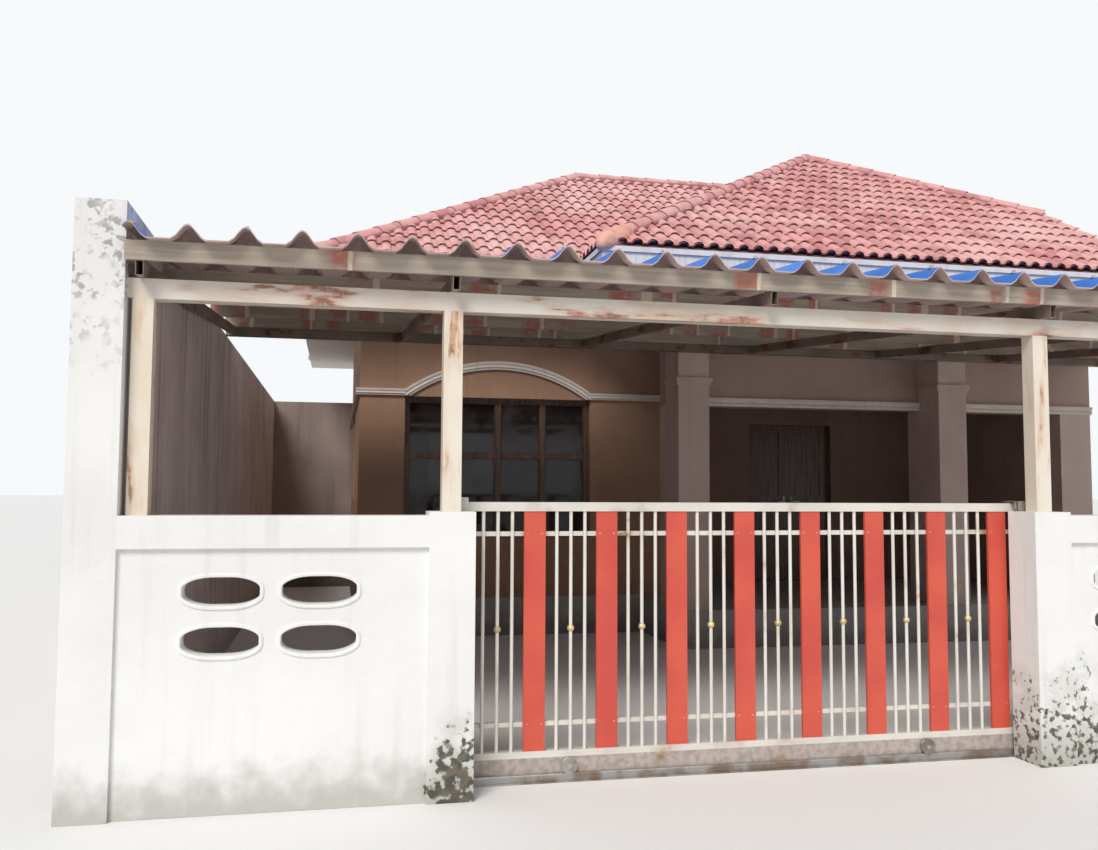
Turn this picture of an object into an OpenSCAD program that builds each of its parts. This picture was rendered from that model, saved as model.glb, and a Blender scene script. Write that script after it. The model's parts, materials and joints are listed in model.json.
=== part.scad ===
// Single-storey bungalow with a tiled hip roof, a columned porch, a steel carport
// with big-wave sheets, a street wall with oval vents and a sliding gate.
// Site frame while drawing: x = 0 on the outer face of the boundary wall, y = 0 on
// the street face of the wall, z = 0 on the ground. All is then moved to the origin.

/* [Street wall] */
// Height of the low street wall
wall_h = 1445; // [1300:5:1600]
// Height of the gate piers
pier_h = 1465; // [1330:5:1500]
// Side of a gate pier
pier_w = 240; // [220:5:300]
// Clear width between the boundary pillar and the left gate pier
left_panel_w = 1500; // [1350:10:2200]
// Clear width between the right gate pier and the end pier
right_panel_w = 4070; // [4020:10:4400]
// Thickness of the recessed panel
panel_t = 110; // [80:5:130]
// Depth of the panel's recess behind the pier face
panel_recess = 25; // [10:5:50]
// Height of the flush band along the top
band_h = 160; // [100:5:190]
// Depth of that band, front to back
band_d = 185; // [180:5:210]

/* [Oval vents] */
// Width of an oval vent
vent_w = 370; // [300:5:400]
// Height of an oval vent
vent_h = 143; // [100:1:170]
// Spacing of the vents along the left panel
vent_dx = 472; // [450:2:500]
// Spacing of the two rows
vent_dz = 243; // [220:1:260]
// Height of the upper row's centre
vent_z = 1073; // [1000:1:1110]
// Wall left free before the first vent of the left panel
left_vent_in = 302; // [100:2:340]
// Wall left free before the first vent of the right panel
right_vent_in = 160; // [100:2:200]
// Wall left free after the last vent of the right panel
right_vent_end = 236; // [180:2:300]
// Vent columns in the left panel
left_vents = 2; // [1:1:2]
// Vent columns in the right panel
right_vents = 8; // [1:1:8]
// Width of the thin rim round a vent
rim_w = 12; // [8:1:20]
// How far the rim stands proud of the panel
rim_proud = 8; // [4:1:10]

/* [Boundary wall] */
// Height of the boundary wall and its pillar
boundary_h = 2990; // [2900:10:3200]
// Depth of the pillar at the street
pillar_d = 240; // [240:5:300]
// Thickness of the wall behind the pillar
boundary_t = 120; // [90:5:200]

/* [Sliding gate] */
// Clear opening between the gate piers
gate_opening = 3290; // [3250:10:3400]
// How far the closed gate laps behind each pier
gate_lap = 115; // [100:5:130]
// Clearance between the piers and the gate's front
gate_gap = 35; // [33:1:45]
// Height of the gate's top
gate_top = 1512; // [1480:2:1560]
// Side of the square top rail
top_rail = 50; // [46:1:60]
// Side of the small square rails
small_rail = 25; // [20:1:26]
// Height of the second rail's centre
second_rail_z = 1338; // [1300:1:1370]
// Height of the lower rail's centre
lower_rail_z = 305; // [260:1:340]
// Height of the bottom channel's underside
channel_z = 30; // [28:1:40]
// Height of the bottom channel
channel_h = 133; // [110:1:150]
// Wall of the gate's channel and top rail
gate_t = 3; // [2:0.5:4]
// Width of a board
board_w = 120; // [90:1:140]
// Thickness of a board
board_t = 19; // [12:1:20]
// Number of boards
board_n = 8; // [6:1:8]
// Distance from the gate's left end to the first board's centre
first_board = 481; // [470:1:500]
// Distance from the last board's centre to the gate's right end
last_board = 165.5; // [150:0.5:200]
// Diameter of the thin tubes
tube_d = 19; // [14:1:20]
// Spacing of the thin tubes
tube_dx = 80; // [70:1:90]
// Diameter of the balls on the middle tubes
ball_d = 40; // [34:1:46]
// Height of the balls
ball_z = 820; // [700:1:1000]
// Radius of a gate wheel
wheel_r = 44; // [40:1:46]
// Thickness of a gate wheel
wheel_t = 20; // [19:1:22]
// Distance of a wheel from the gate's end
wheel_in = 675; // [500:5:800]
// Height of the wheel's axle
axle_z = 82; // [80:1:86]
// Diameter of the axle
axle_d = 16; // [12:1:20]
// Radius of the round bar under the wheels
track_r = 8; // [6:1:9]
// Width of the track's foot
foot_w = 40; // [32:1:60]
// Thickness of the track's foot
foot_t = 8; // [5:1:12]

/* [Carport] */
// Side of a square post
post_w = 100; // [75:1:110]
// Height of the front beam's underside
beam_z = 2520; // [2300:5:2560]
// Side of the front beam
beam_w = 100; // [90:1:110]
// Height of a rafter
rafter_h = 75; // [60:1:90]
// Width of a rafter
rafter_w = 38; // [30:1:50]
// Wall of the carport's tubes and channels
steel_t = 3; // [2:0.5:4]
// Slope of the carport roof in degrees
slope = 4.88; // [4:0.02:5.4]
// How far the rafters run out in front of the beam
rafter_out = 120; // [60:5:160]
// Height of a purlin
purlin_h = 95; // [75:1:100]
// Width of a purlin's flanges
purlin_w = 45; // [35:1:60]
// Number of purlins
purlin_n = 5; // [4:1:6]
// Pitch of the sheet's waves
wave_dx = 270; // [250:1:290]
// Height of a wave
wave_h = 74; // [60:1:80]
// Thickness of the sheet
sheet_t = 7; // [6:0.5:9]
// Position of the first crest from the sheet's left edge
first_crest = 29; // [0:1:135]
// How far the sheet runs out in front of the rafters
sheet_out = 70; // [40:5:120]
// Gap between the sheet and the walls beside it
sheet_gap = 5; // [3:1:20]

/* [House body] */
// Left outer face of the house
house_x = 1490; // [1400:10:1600]
// Street face to the front of the porch beam
porch_y = 4870; // [4800:10:5000]
// Front of the porch beam to the window wall
room_in = 850; // [700:10:1000]
// Window wall's front to the rear face of the back wall
house_d = 6000; // [5600:10:6100]
// Thickness of the house walls
house_t = 200; // [160:10:240]
// Right face of the wall left of the porch
porch_x = 4980; // [4900:10:5100]
// Window wall's front to the porch's back wall
porch_in = 1750; // [1200:10:2500]
// Top of the floor
floor_z = 380; // [300:5:400]
// Top of the plinth band
plinth_z = 410; // [405:5:500]
// How far the plinth band stands proud
plinth_out = 25; // [10:1:40]
// Height of the ceiling's underside
ceiling_z = 3670; // [3600:5:3680]
// Thickness of the ceiling
ceiling_t = 20; // [12:1:30]

/* [Porch] */
// Width of a porch column
col_w = 330; // [300:5:360]
// Depth of a porch column in front of the beam
col_out = 400; // [300:5:430]
// Thickness of the porch beam
porch_beam_t = 200; // [150:5:220]
// Height of the porch beam's underside
porch_beam_z = 2480; // [2400:5:2540]
// Clear width between the two columns
col_gap = 2620; // [2400:10:2800]
// Width of the pier on the party wall
party_pier_w = 400; // [300:5:500]
// Underside of the capitals
cap_z = 2655; // [2640:5:2700]
// Height of a capital
cap_h = 80; // [60:1:100]
// How far a capital stands proud
cap_out = 30; // [15:1:35]
// How far the porch floor runs out in front of the columns
porch_nose = 40; // [20:5:60]

/* [Windows and door] */
// Width of the front window
win_w = 2070; // [1800:10:2200]
// Height of the front window's sill
sill_z = 1055; // [1000:5:1200]
// Height of the front window's head
head_z = 2590; // [2500:5:2590]
// House corner to the front window
win_in = 480; // [400:10:600]
// Width of a small window
small_w = 1200; // [900:10:1250]
// Height of a small window
small_h = 1150; // [900:10:1250]
// Corner of the house to the nearest rear window
back_win_in = 1200; // [900:10:1500]
// Width of a window frame's bars
frame_w = 50; // [40:1:60]
// Depth of a window frame
frame_d = 70; // [50:1:75]
// Thickness of the glass
glass_t = 5; // [4:1:8]
// Width of the entrance door
door_w = 1200; // [900:10:1300]
// Height of the entrance door
door_h = 2100; // [1950:10:2150]
// Thickness of the entrance door
door_t = 40; // [35:1:50]

/* [Mouldings] */
// Underside of the straight moulding on the window wall
mould_z = 2595; // [2595:1:2640]
// Height of the straight moulding
mould_h = 70; // [50:1:90]
// How far the mouldings stand proud
mould_out = 45; // [20:1:60]
// Height of the moulding along the foot of the porch beam
beam_mould_h = 90; // [60:1:110]
// Rise of the arched moulding
arch_rise = 330; // [250:5:380]
// Width of the arched moulding
arch_w = 90; // [60:1:110]

/* [Tiled roof] */
// Rise of the roof for a run of 1
rise = 0.593; // [0.55:0.001:0.62]
// Height of the eaves' upper edge
eave_z = 3834; // [3800:1:3880]
// Vertical thickness of the tiled covering
cover_t = 50; // [40:1:60]
// Overhang beyond the left side wall
left_eave = 715; // [600:5:750]
// Street face to the main front eave
main_eave_y = 4915; // [4880:5:5000]
// Depth of the main roof over its eaves
main_d = 7594; // [7500:2:7700]
// How far the wing's eave stands in front of the main eave
wing_out = 1315; // [1200:5:1400]
// Main roof's left eave to the wing's left eave
wing_in = 2825; // [2700:5:3000]
// How much wider the wing is over its eaves than the main roof is deep
wing_extra = 586; // [500:2:700]
// Thickness of the fascia
fascia_t = 20; // [12:1:30]
// Set-back of the fascia from the tiles' edge
fascia_in = 20; // [10:1:40]
// Radius of the ridge and hip caps
cap_r = 105; // [90:1:120]
// Thickness of the caps
cap_t = 18; // [12:1:25]

/* [Hidden] */

fit = 0.3;
far = 30000;
front_lights = 4;
small_lights = 2;
far_bays = 3;

// Street wall
panel_x = pier_w;
jamb_x = panel_x + left_panel_w + pier_w;
right_pier_x = jamb_x + gate_opening;
right_panel_x = right_pier_x + pier_w;
end_pier_x = right_panel_x + right_panel_w;
lot_w = end_pier_x + pier_w;

// Gate
gate_x = jamb_x - gate_lap;
gate_len = gate_opening + 2 * gate_lap;
gate_y = pier_w + gate_gap;
travel = gate_opening + 100;
channel_top = channel_z + channel_h;
rail_z = gate_top - top_rail;
small_rail_y = gate_y + top_rail - small_rail;
tube_y = small_rail_y - tube_d / 2;
wheel_gap = 5;
wheel_y = gate_y - wheel_gap - wheel_t / 2;
groove_r = wheel_r - track_r;
bar_mid_z = axle_z - wheel_r - fit;
wheel_xs = [gate_x + wheel_in, gate_x + gate_len - wheel_in];
board_dx = (gate_len - first_board - last_board) / (board_n - 1);
board_xs = [for (i = [0:board_n - 1]) gate_x + first_board + i * board_dx];
mid_xs = [for (x = board_xs) x - board_dx / 2];

// Carport
beam_y = (pier_w - beam_w) / 2;
post_y = pier_w / 2;
post_xs = [
  panel_x + 25 + post_w / 2,
  panel_x + left_panel_w + pier_w / 2,
  right_pier_x + pier_w / 2,
  end_pier_x + pier_w / 2
];
rafter_xs = concat(
  [post_xs[0], post_xs[1], (post_xs[1] + post_xs[2]) / 2],
  [for (i = [0:far_bays]) post_xs[2] + i * (post_xs[3] - post_xs[2]) / far_bays]
);
beam_top = beam_z + beam_w;
col_y = porch_y - col_out;
ledger_y = col_y - beam_w;
ledger_z = beam_top + fit + (ledger_y - beam_y) * tan(slope);
purlin_run = (ledger_y - beam_y) / cos(slope) + rafter_out - purlin_w - 40;
sheet_z = rafter_h + purlin_h + 2 * fit;
sheet_y1 = porch_y - 50;
front_y = beam_y - (rafter_out + sheet_out) * cos(slope)
  - (sheet_z + wave_h + sheet_t) * sin(slope);

// House
front_wall_y = porch_y + room_in;
back_y = front_wall_y + house_d;
left_col_x = porch_x - col_w;
right_col_x = porch_x + col_gap;
party_pier_x = lot_w - party_pier_w;
porch_back_y = front_wall_y + porch_in;
win_x = house_x + win_in;
door_x = (porch_x + lot_w - house_t - door_w) / 2;
small_z = head_z - small_h;
side_win_y = front_wall_y + house_d / 2;
back_win_xs = [house_x + back_win_in, lot_w - house_t - back_win_in - small_w];
reveal = 80;

// Roof plan: eaves, ridges and the lines where slopes meet
roof_x0 = house_x - left_eave;
roof_y1 = main_eave_y + main_d;
half_d = main_d / 2;
ridge_y = main_eave_y + half_d;
ridge_z = eave_z + rise * half_d;
ridge_x0 = roof_x0 + half_d;
wing_x0 = roof_x0 + wing_in;
wing_y0 = main_eave_y - wing_out;
wing_w = main_d + wing_extra;
wing_x1 = wing_x0 + wing_w;
half_w = wing_w / 2;
apex = [wing_x0 + half_w, wing_y0 + half_w];
apex_z = eave_z + rise * half_w;
rear_y = (apex[1] + half_w + main_eave_y) / 2;
valley_l = [wing_x0 + rear_y - main_eave_y, rear_y];
valley_r = [wing_x1 - rear_y + main_eave_y, rear_y];
cut_run = wing_x1 - lot_w;
hip_cut = [lot_w, wing_y0 + cut_run];
valley_cut = [lot_w, main_eave_y + cut_run];
attic_z = ceiling_z + ceiling_t;
fascia_h = eave_z - cover_t + rise * fascia_in - fit - attic_z;

origin = [lot_w / 2, (front_y + roof_y1) / 2, 0];

module placed() {
  translate(-origin) children();
}

// A box from its low corner to its high corner
module span(low, high) {
  translate(low) cube(high - low);
}

// Something drawn in x and z, given a depth along y from y0
module upright(y0, depth) {
  translate([0, y0 + depth, 0]) rotate([90, 0, 0]) linear_extrude(depth) children();
}

// Square tube along z, open at both ends
module tube(w, d, h, t) {
  linear_extrude(h) difference() {
    square([w, d], center = true);
    square([w - 2 * t, d - 2 * t], center = true);
  }
}

// Outline of a vent, round-ended
module oval(w, h) {
  square([w - h, h], center = true);
  for (side = [-1, 1]) translate([side * (w - h) / 2, 0]) circle(d = h, $fn = 48);
}

right_vent_dx = (right_panel_w - right_vent_in - right_vent_end - vent_w)
  / max(1, right_vents - 1);

function vents(x0, n, dx) = [
  for (i = [0:n - 1], row = [0, 1]) [x0 + vent_w / 2 + i * dx, vent_z - row * vent_dz]
];

// Low wall: a recessed panel with vents under a flush band
module low_wall(x0, w, inset, n, dx) {
  upright(panel_recess, panel_t) difference() {
    translate([x0, 0]) square([w, wall_h - band_h]);
    for (c = vents(x0 + inset, n, dx)) translate(c) oval(vent_w, vent_h);
  }
  span([x0, 0, wall_h - band_h], [x0 + w, band_d, wall_h]);
}

module rims(x0, n, dx) {
  upright(panel_recess - rim_proud, rim_proud)
    for (c = vents(x0, n, dx)) translate(c) difference() {
      oval(vent_w + 2 * rim_w, vent_h + 2 * rim_w);
      oval(vent_w, vent_h);
    }
}

module pier(x) {
  span([x, 0, 0], [x + pier_w, pier_w, pier_h]);
}

module boundary_pillar() {
  color("whitesmoke") span([0, 0, 0], [pier_w, pillar_d, boundary_h]);
}

module boundary_wall() {
  color("gainsboro")
    span([pier_w - boundary_t, pillar_d, 0], [pier_w, back_y, boundary_h]);
}

// Wall across the passage beside the house, in line with the house's back
module passage_wall() {
  color("rosybrown")
    span([pier_w, back_y - house_t, 0], [house_x, back_y, boundary_h]);
}

module street_wall_left() {
  color("whitesmoke") low_wall(panel_x, left_panel_w, left_vent_in, left_vents, vent_dx);
}

module street_wall_right() {
  color("whitesmoke")
    low_wall(right_panel_x, right_panel_w, right_vent_in, right_vents, right_vent_dx);
}

module vent_rims() {
  color("white") {
    rims(panel_x + left_vent_in, left_vents, vent_dx);
    rims(right_panel_x + right_vent_in, right_vents, right_vent_dx);
  }
}

module gate_pier_left() {
  color("whitesmoke") pier(jamb_x - pier_w);
}

module gate_pier_right() {
  color("whitesmoke") pier(right_pier_x);
}

module end_pier() {
  color("whitesmoke") pier(end_pier_x);
}

// Round bar on a rib and a flat foot against the piers, long enough for the open gate
module gate_track() {
  x0 = gate_x - 20;
  len = gate_len + travel + 40;
  color("dimgray") union() {
    span([x0, pier_w, 0], [x0 + len, pier_w + foot_w, foot_t]);
    span([x0, wheel_y - track_r, 0], [x0 + len, wheel_y + track_r, bar_mid_z]);
    translate([x0, wheel_y, bar_mid_z]) rotate([0, 90, 0])
      cylinder(r = track_r, h = len, $fn = 32);
  }
}

// Folded pocket on the left pier that takes the end of the top rail
module gate_catch() {
  lip = 6;
  z0 = gate_top - 70;
  z1 = gate_top + 25;
  y1 = gate_y + top_rail + lip;
  x0 = gate_x - 2 * lip;
  color("white") union() {
    span([x0, pier_w, z0], [x0 + lip, y1 + lip, z1]);
    span([x0 + lip, y1, z0], [jamb_x - 10, y1 + lip, z1]);
    span([x0 + lip, pier_w, z0], [jamb_x - 10, pier_w + lip, z1]);
  }
}

// Plate on the right pier with two rollers that steady the top rail
module gate_guide() {
  x = right_pier_x + 70;
  z = gate_top + 8;
  gap = 5;
  roller_r = 14;
  plate = 6;
  color("silver") union() {
    span([x - 35, pier_w - 50, pier_h], [x + 35, pier_w - 50 + plate, z + plate]);
    span([x - 35, pier_w - 50, z], [x + 35, gate_y + top_rail + gap + 2 * roller_r, z + plate]);
    for (y = [gate_y - gap - roller_r, gate_y + top_rail + gap + roller_r])
      translate([x, y, gate_top - 32]) cylinder(r = roller_r, h = z + 3 - gate_top + 32, $fn = 32);
  }
}

// Top rail, bottom channel, end stiles and the two small rails, welded together
module gate_frame() {
  color("silver") union() {
    translate([gate_x, gate_y + top_rail / 2, gate_top - top_rail / 2])
      rotate([0, 90, 0]) tube(top_rail, top_rail, gate_len, gate_t);
    difference() {
      span([gate_x, gate_y, channel_z], [gate_x + gate_len, gate_y + top_rail, channel_top]);
      span([gate_x - 1, gate_y + gate_t, channel_z + gate_t],
           [gate_x + gate_len + 1, gate_y + top_rail + 1, channel_top - gate_t]);
    }
    for (x = [gate_x, gate_x + gate_len - top_rail])
      span([x, gate_y, channel_top], [x + top_rail, gate_y + top_rail, rail_z]);
    for (z = [second_rail_z, lower_rail_z])
      span([gate_x + top_rail, small_rail_y, z - small_rail / 2],
           [gate_x + gate_len - top_rail, small_rail_y + small_rail, z + small_rail / 2]);
    for (x = wheel_xs) translate([x, gate_y, axle_z]) rotate([90, 0, 0]) {
      cylinder(d = axle_d, h = wheel_gap + wheel_t + 1, $fn = 32);
      cylinder(d = axle_d + 8, h = wheel_gap - fit, $fn = 32);
      translate([0, 0, wheel_gap + wheel_t + fit]) cylinder(d = axle_d + 8, h = 3, $fn = 32);
    }
  }
}

module gate_boards() {
  color("tomato")
    for (x = board_xs)
      span([x - board_w / 2, small_rail_y - board_t, channel_top],
           [x + board_w / 2, small_rail_y, rail_z]);
}

module gate_tubes() {
  color("beige")
    for (x = mid_xs, i = [-1, 0, 1])
      translate([x + i * tube_dx, tube_y, channel_top])
        cylinder(d = tube_d, h = rail_z - channel_top, $fn = 24);
}

module gate_balls() {
  color("gold")
    for (x = mid_xs) translate([x, tube_y, ball_z]) difference() {
      sphere(d = ball_d, $fn = 32);
      cylinder(d = tube_d + 2 * fit, h = ball_d + 2, center = true, $fn = 24);
    }
}

// Wheel with a round groove, turning about y
module wheel(x) {
  hole_r = axle_d / 2 + 0.08;
  color("gray") translate([x, wheel_y, axle_z]) rotate([90, 0, 0])
    rotate_extrude($fn = 64) difference() {
      translate([hole_r, -wheel_t / 2]) square([wheel_r - hole_r, wheel_t]);
      translate([wheel_r + fit, 0]) circle(r = track_r + fit, $fn = 32);
    }
}

module gate_wheel_left() {
  wheel(wheel_xs[0]);
}

module gate_wheel_right() {
  wheel(wheel_xs[1]);
}

module carport_posts() {
  color("ivory")
    for (i = [0:3]) {
      foot = i == 0 ? wall_h : pier_h;
      translate([post_xs[i], post_y, foot]) tube(post_w, post_w, beam_z - foot, steel_t);
    }
}

// Square tube from the boundary to the party side, its near face at y
module cross_beam(y, z) {
  translate([pier_w, y + beam_w / 2, z + beam_w / 2])
    rotate([0, 90, 0]) tube(beam_w, beam_w, lot_w - pier_w, steel_t);
}

module front_beam() {
  color("ivory") cross_beam(beam_y, beam_z);
}

module rear_beam() {
  color("ivory") cross_beam(ledger_y, ledger_z);
}

// Turns a thing drawn flat onto the carport's slope, z measured off the rafters' foot
module on_slope() {
  translate([0, beam_y, beam_top + fit]) rotate([slope, 0, 0]) children();
}

module rafters() {
  color("ivory") intersection() {
    on_slope() for (x = rafter_xs)
      translate([x, -rafter_out, rafter_h / 2]) rotate([-90, 0, 0])
        tube(rafter_w, rafter_h, 2 * ledger_y, steel_t);
    span([0, -far, 0], [far, ledger_y, far]);
  }
}

// C-channels laid across the rafters, open to the house
module purlins() {
  len = lot_w - pier_w - sheet_gap;
  color("darkkhaki")
    on_slope() for (i = [0:purlin_n - 1])
      translate([pier_w + sheet_gap, i * purlin_run / (purlin_n - 1) - rafter_out, rafter_h + fit])
        difference() {
          cube([len, purlin_w, purlin_h]);
          translate([-1, steel_t, steel_t]) cube([len + 2, purlin_w, purlin_h - 2 * steel_t]);
        }
}

// Underside of the sheet as a share u of one wave: flat valley, rounded crest
wave_us = [0, 0.06, 0.13, 0.2, 0.3, 0.7, 0.8, 0.87, 0.94];
function wave_at(u) =
  let (v = min(u, 1 - u) / 0.3)
  v >= 1 ? 0 : (1 + cos(180 * v)) / 2;
function edge_at(x, z) =
  let (u = (x - first_crest) / wave_dx)
  [x, z + wave_h * wave_at(u - floor(u))];
function wave_points(len, z) = [
  for (i = [-1:ceil(len / wave_dx)], u = wave_us)
    let (x = first_crest + (i + u) * wave_dx)
    if (x > 2 && x < len - 2) [x, z + wave_h * wave_at(u)]
];
function wave_line(len, z) = concat([edge_at(0, z)], wave_points(len, z), [edge_at(len, z)]);
function reversed(p) = [for (i = [len(p) - 1:-1:0]) p[i]];

// Wave-profiled sheets, cut round the porch columns that stand through them
module roof_sheets() {
  w = lot_w - pier_w - sheet_gap;
  clear = 6;
  color("steelblue") difference() {
    on_slope() translate([pier_w + sheet_gap, 2 * porch_y, sheet_z])
      rotate([90, 0, 0]) linear_extrude(2 * porch_y + rafter_out + sheet_out)
        polygon(concat(wave_line(w, 0), reversed(wave_line(w, sheet_t))));
    span([0, sheet_y1, 0], [far, far, far]);
    for (x = [left_col_x, right_col_x])
      span([x - clear, col_y - clear, 0], [x + col_w + clear, far, far]);
  }
}

module house_floor() {
  color("lightgray")
    linear_extrude(floor_z) polygon([
      [house_x + house_t, front_wall_y + house_t],
      [porch_x - house_t, front_wall_y + house_t],
      [porch_x - house_t, porch_back_y + house_t],
      [lot_w - house_t, porch_back_y + house_t],
      [lot_w - house_t, back_y - house_t],
      [house_x + house_t, back_y - house_t]
    ]);
}

// Porch floor, from the carport to the porch's back wall
module porch_floor() {
  color("silver")
    linear_extrude(floor_z) polygon([
      [left_col_x, col_y - porch_nose],
      [lot_w, col_y - porch_nose],
      [lot_w, porch_y + porch_beam_t],
      [lot_w - house_t, porch_y + porch_beam_t],
      [lot_w - house_t, porch_back_y],
      [porch_x, porch_back_y],
      [porch_x, front_wall_y],
      [left_col_x, front_wall_y]
    ]);
}

module plinth() {
  color("dimgray")
    span([house_x, front_wall_y - plinth_out, 0], [left_col_x, front_wall_y, plinth_z]);
}

module front_wall() {
  color("rosybrown") upright(front_wall_y, house_t) difference() {
    translate([house_x, 0]) square([porch_x - house_x, ceiling_z]);
    translate([win_x, sill_z]) square([win_w, head_z - sill_z]);
  }
}

module left_side_wall() {
  color("rosybrown") difference() {
    span([house_x, front_wall_y + house_t, 0], [house_x + house_t, back_y - house_t, ceiling_z]);
    span([house_x - 1, side_win_y, small_z], [house_x + house_t + 1, side_win_y + small_w, head_z]);
  }
}

module back_wall() {
  color("rosybrown") upright(back_y - house_t, house_t) difference() {
    translate([house_x, 0]) square([lot_w - house_x, ceiling_z]);
    for (x = back_win_xs) translate([x, small_z]) square([small_w, small_h]);
  }
}

module party_wall() {
  color("rosybrown")
    span([lot_w - house_t, porch_y + porch_beam_t, 0], [lot_w, back_y - house_t, ceiling_z]);
}

module porch_side_wall() {
  color("rosybrown")
    span([porch_x - house_t, front_wall_y + house_t, 0], [porch_x, porch_back_y + house_t, ceiling_z]);
}

module porch_back_wall() {
  color("rosybrown") upright(porch_back_y, house_t) difference() {
    translate([porch_x, 0]) square([lot_w - house_t - porch_x, ceiling_z]);
    translate([door_x, floor_z]) square([door_w, door_h]);
  }
}

// Two fixed leaves with two sunk panels each
module entrance_door() {
  y = porch_back_y + house_t / 2;
  stile = 120;
  color("saddlebrown") difference() {
    span([door_x + fit, y, floor_z + fit],
         [door_x + door_w - fit, y + door_t, floor_z + door_h - fit]);
    for (leaf = [0, 1], row = [0, 1])
      translate([door_x + stile + leaf * door_w / 2, y - 1, floor_z + stile + row * door_h * 0.48])
        cube([door_w / 2 - 2 * stile, 13, door_h * 0.48 - stile]);
  }
}

// Column with a capital of two steps round its front and sides
module column(x) {
  union() {
    span([x, col_y, floor_z], [x + col_w, porch_y, ceiling_z]);
    span([x, porch_y, floor_z], [x + col_w, porch_y + porch_beam_t, porch_beam_z]);
    for (step = [1, 2]) {
      out = cap_out * step / 2;
      span([x - out, col_y - out, cap_z + (step - 1) * cap_h / 2],
           [x + col_w + out, porch_y - mould_out - fit, cap_z + step * cap_h / 2]);
    }
  }
}

module porch_column_left() {
  color("rosybrown") column(left_col_x);
}

module porch_column_right() {
  color("rosybrown") column(right_col_x);
}

module party_pier() {
  color("rosybrown")
    span([party_pier_x, porch_y, floor_z], [lot_w, porch_y + porch_beam_t, porch_beam_z]);
}

module porch_beam() {
  color("rosybrown")
    span([left_col_x, porch_y, porch_beam_z], [lot_w, porch_y + porch_beam_t, ceiling_z]);
}

// Section of a moulding: out along x, up along y, two fillets and a hollow between
module mould_section(h) {
  r = h * 0.22;
  difference() {
    square([mould_out, h]);
    translate([mould_out + r * 0.4, h * 0.52]) circle(r = r, $fn = 32);
    translate([mould_out * 0.7, -1]) square([mould_out, h * 0.28 + 1]);
  }
}

// Straight moulding on a wall that faces the street
module mould_run(x0, x1, y, z, h) {
  translate([x0, y, z]) rotate([90, 0, 90]) linear_extrude(x1 - x0)
    mirror([1, 0]) mould_section(h);
}

module mouldings() {
  color("tan") {
    mould_run(left_col_x + col_w, right_col_x, porch_y, porch_beam_z, beam_mould_h);
    mould_run(right_col_x + col_w, lot_w, porch_y, porch_beam_z, beam_mould_h);
    mould_run(house_x - mould_out, win_x, front_wall_y, mould_z, mould_h);
    mould_run(win_x + win_w, porch_x, front_wall_y, mould_z, mould_h);
    translate([house_x, front_wall_y, mould_z]) rotate([90, 0, 0]) mirror([0, 0, 1])
      linear_extrude(house_d - house_t - fit) mirror([1, 0]) mould_section(mould_h);
  }
}

// Segmental arch of the same section, standing on the straight moulding
module window_arch() {
  half = win_w / 2;
  r = (half * half + arch_rise * arch_rise) / (2 * arch_rise);
  z = mould_z + mould_h + arch_rise - r;
  color("tan") intersection() {
    translate([win_x + half, front_wall_y, z]) rotate([90, 0, 0])
      rotate_extrude($fn = 180) translate([r - arch_w, 0]) rotate([0, 0, 90])
        mirror([0, 1]) mould_section(arch_w);
    span([win_x, 0, mould_z], [win_x + win_w, far, ceiling_z]);
  }
}

// Outline of a frame with upright bars between n lights
module frame_outline(w, h, n) {
  light = (w - (n + 1) * frame_w) / n;
  difference() {
    square([w, h]);
    for (i = [0:n - 1])
      translate([frame_w + i * (light + frame_w), frame_w]) square([light, h - 2 * frame_w]);
  }
}

// Outlines of the panes between those bars
module panes(w, h, n) {
  light = (w - (n + 1) * frame_w) / n;
  for (i = [0:n - 1])
    translate([frame_w + i * (light + frame_w) + fit, frame_w + fit])
      square([light - 2 * fit, h - 2 * frame_w - 2 * fit]);
}

module front_window_frame() {
  color("peru") upright(front_wall_y + reveal, frame_d) translate([win_x, sill_z])
    frame_outline(win_w, head_z - sill_z, front_lights);
}

// Puts an outline into the side window, set back by in and given a depth
module at_side_window(in, depth) {
  translate([house_x + in, side_win_y, small_z]) rotate([90, 0, 90]) linear_extrude(depth)
    children();
}

module small_window_frames() {
  color("peru") {
    at_side_window(reveal, frame_d) frame_outline(small_w, small_h, small_lights);
    upright(back_y - reveal - frame_d, frame_d)
      for (x = back_win_xs) translate([x, small_z]) frame_outline(small_w, small_h, small_lights);
  }
}

module window_glass() {
  mid = reveal + (frame_d - glass_t) / 2;
  color("lightblue") {
    upright(front_wall_y + mid, glass_t) translate([win_x, sill_z])
      panes(win_w, head_z - sill_z, front_lights);
    at_side_window(mid, glass_t) panes(small_w, small_h, small_lights);
    upright(back_y - mid - glass_t, glass_t)
      for (x = back_win_xs) translate([x, small_z]) panes(small_w, small_h, small_lights);
  }
}

// Plan of the whole roof, set in from the tiles' edge, its party side past by some more
module roof_plan(inset, past = 0) {
  polygon([
    [roof_x0 + inset, main_eave_y + inset],
    [wing_x0 + inset, main_eave_y + inset],
    [wing_x0 + inset, wing_y0 + inset],
    [lot_w + past, wing_y0 + inset],
    [lot_w + past, roof_y1 - inset],
    [roof_x0 + inset, roof_y1 - inset]
  ]);
}

module ceiling() {
  color("white") translate([0, 0, ceiling_z]) linear_extrude(ceiling_t) roof_plan(fascia_in);
}

module fascia() {
  color("wheat") translate([0, 0, attic_z]) linear_extrude(fascia_h) difference() {
    roof_plan(fascia_in);
    roof_plan(fascia_in + fascia_t, 1);
  }
}

// Underside of the covering at a run from its eave
function under_tiles_z(run) = eave_z + rise * run - cover_t - fit;

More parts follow.
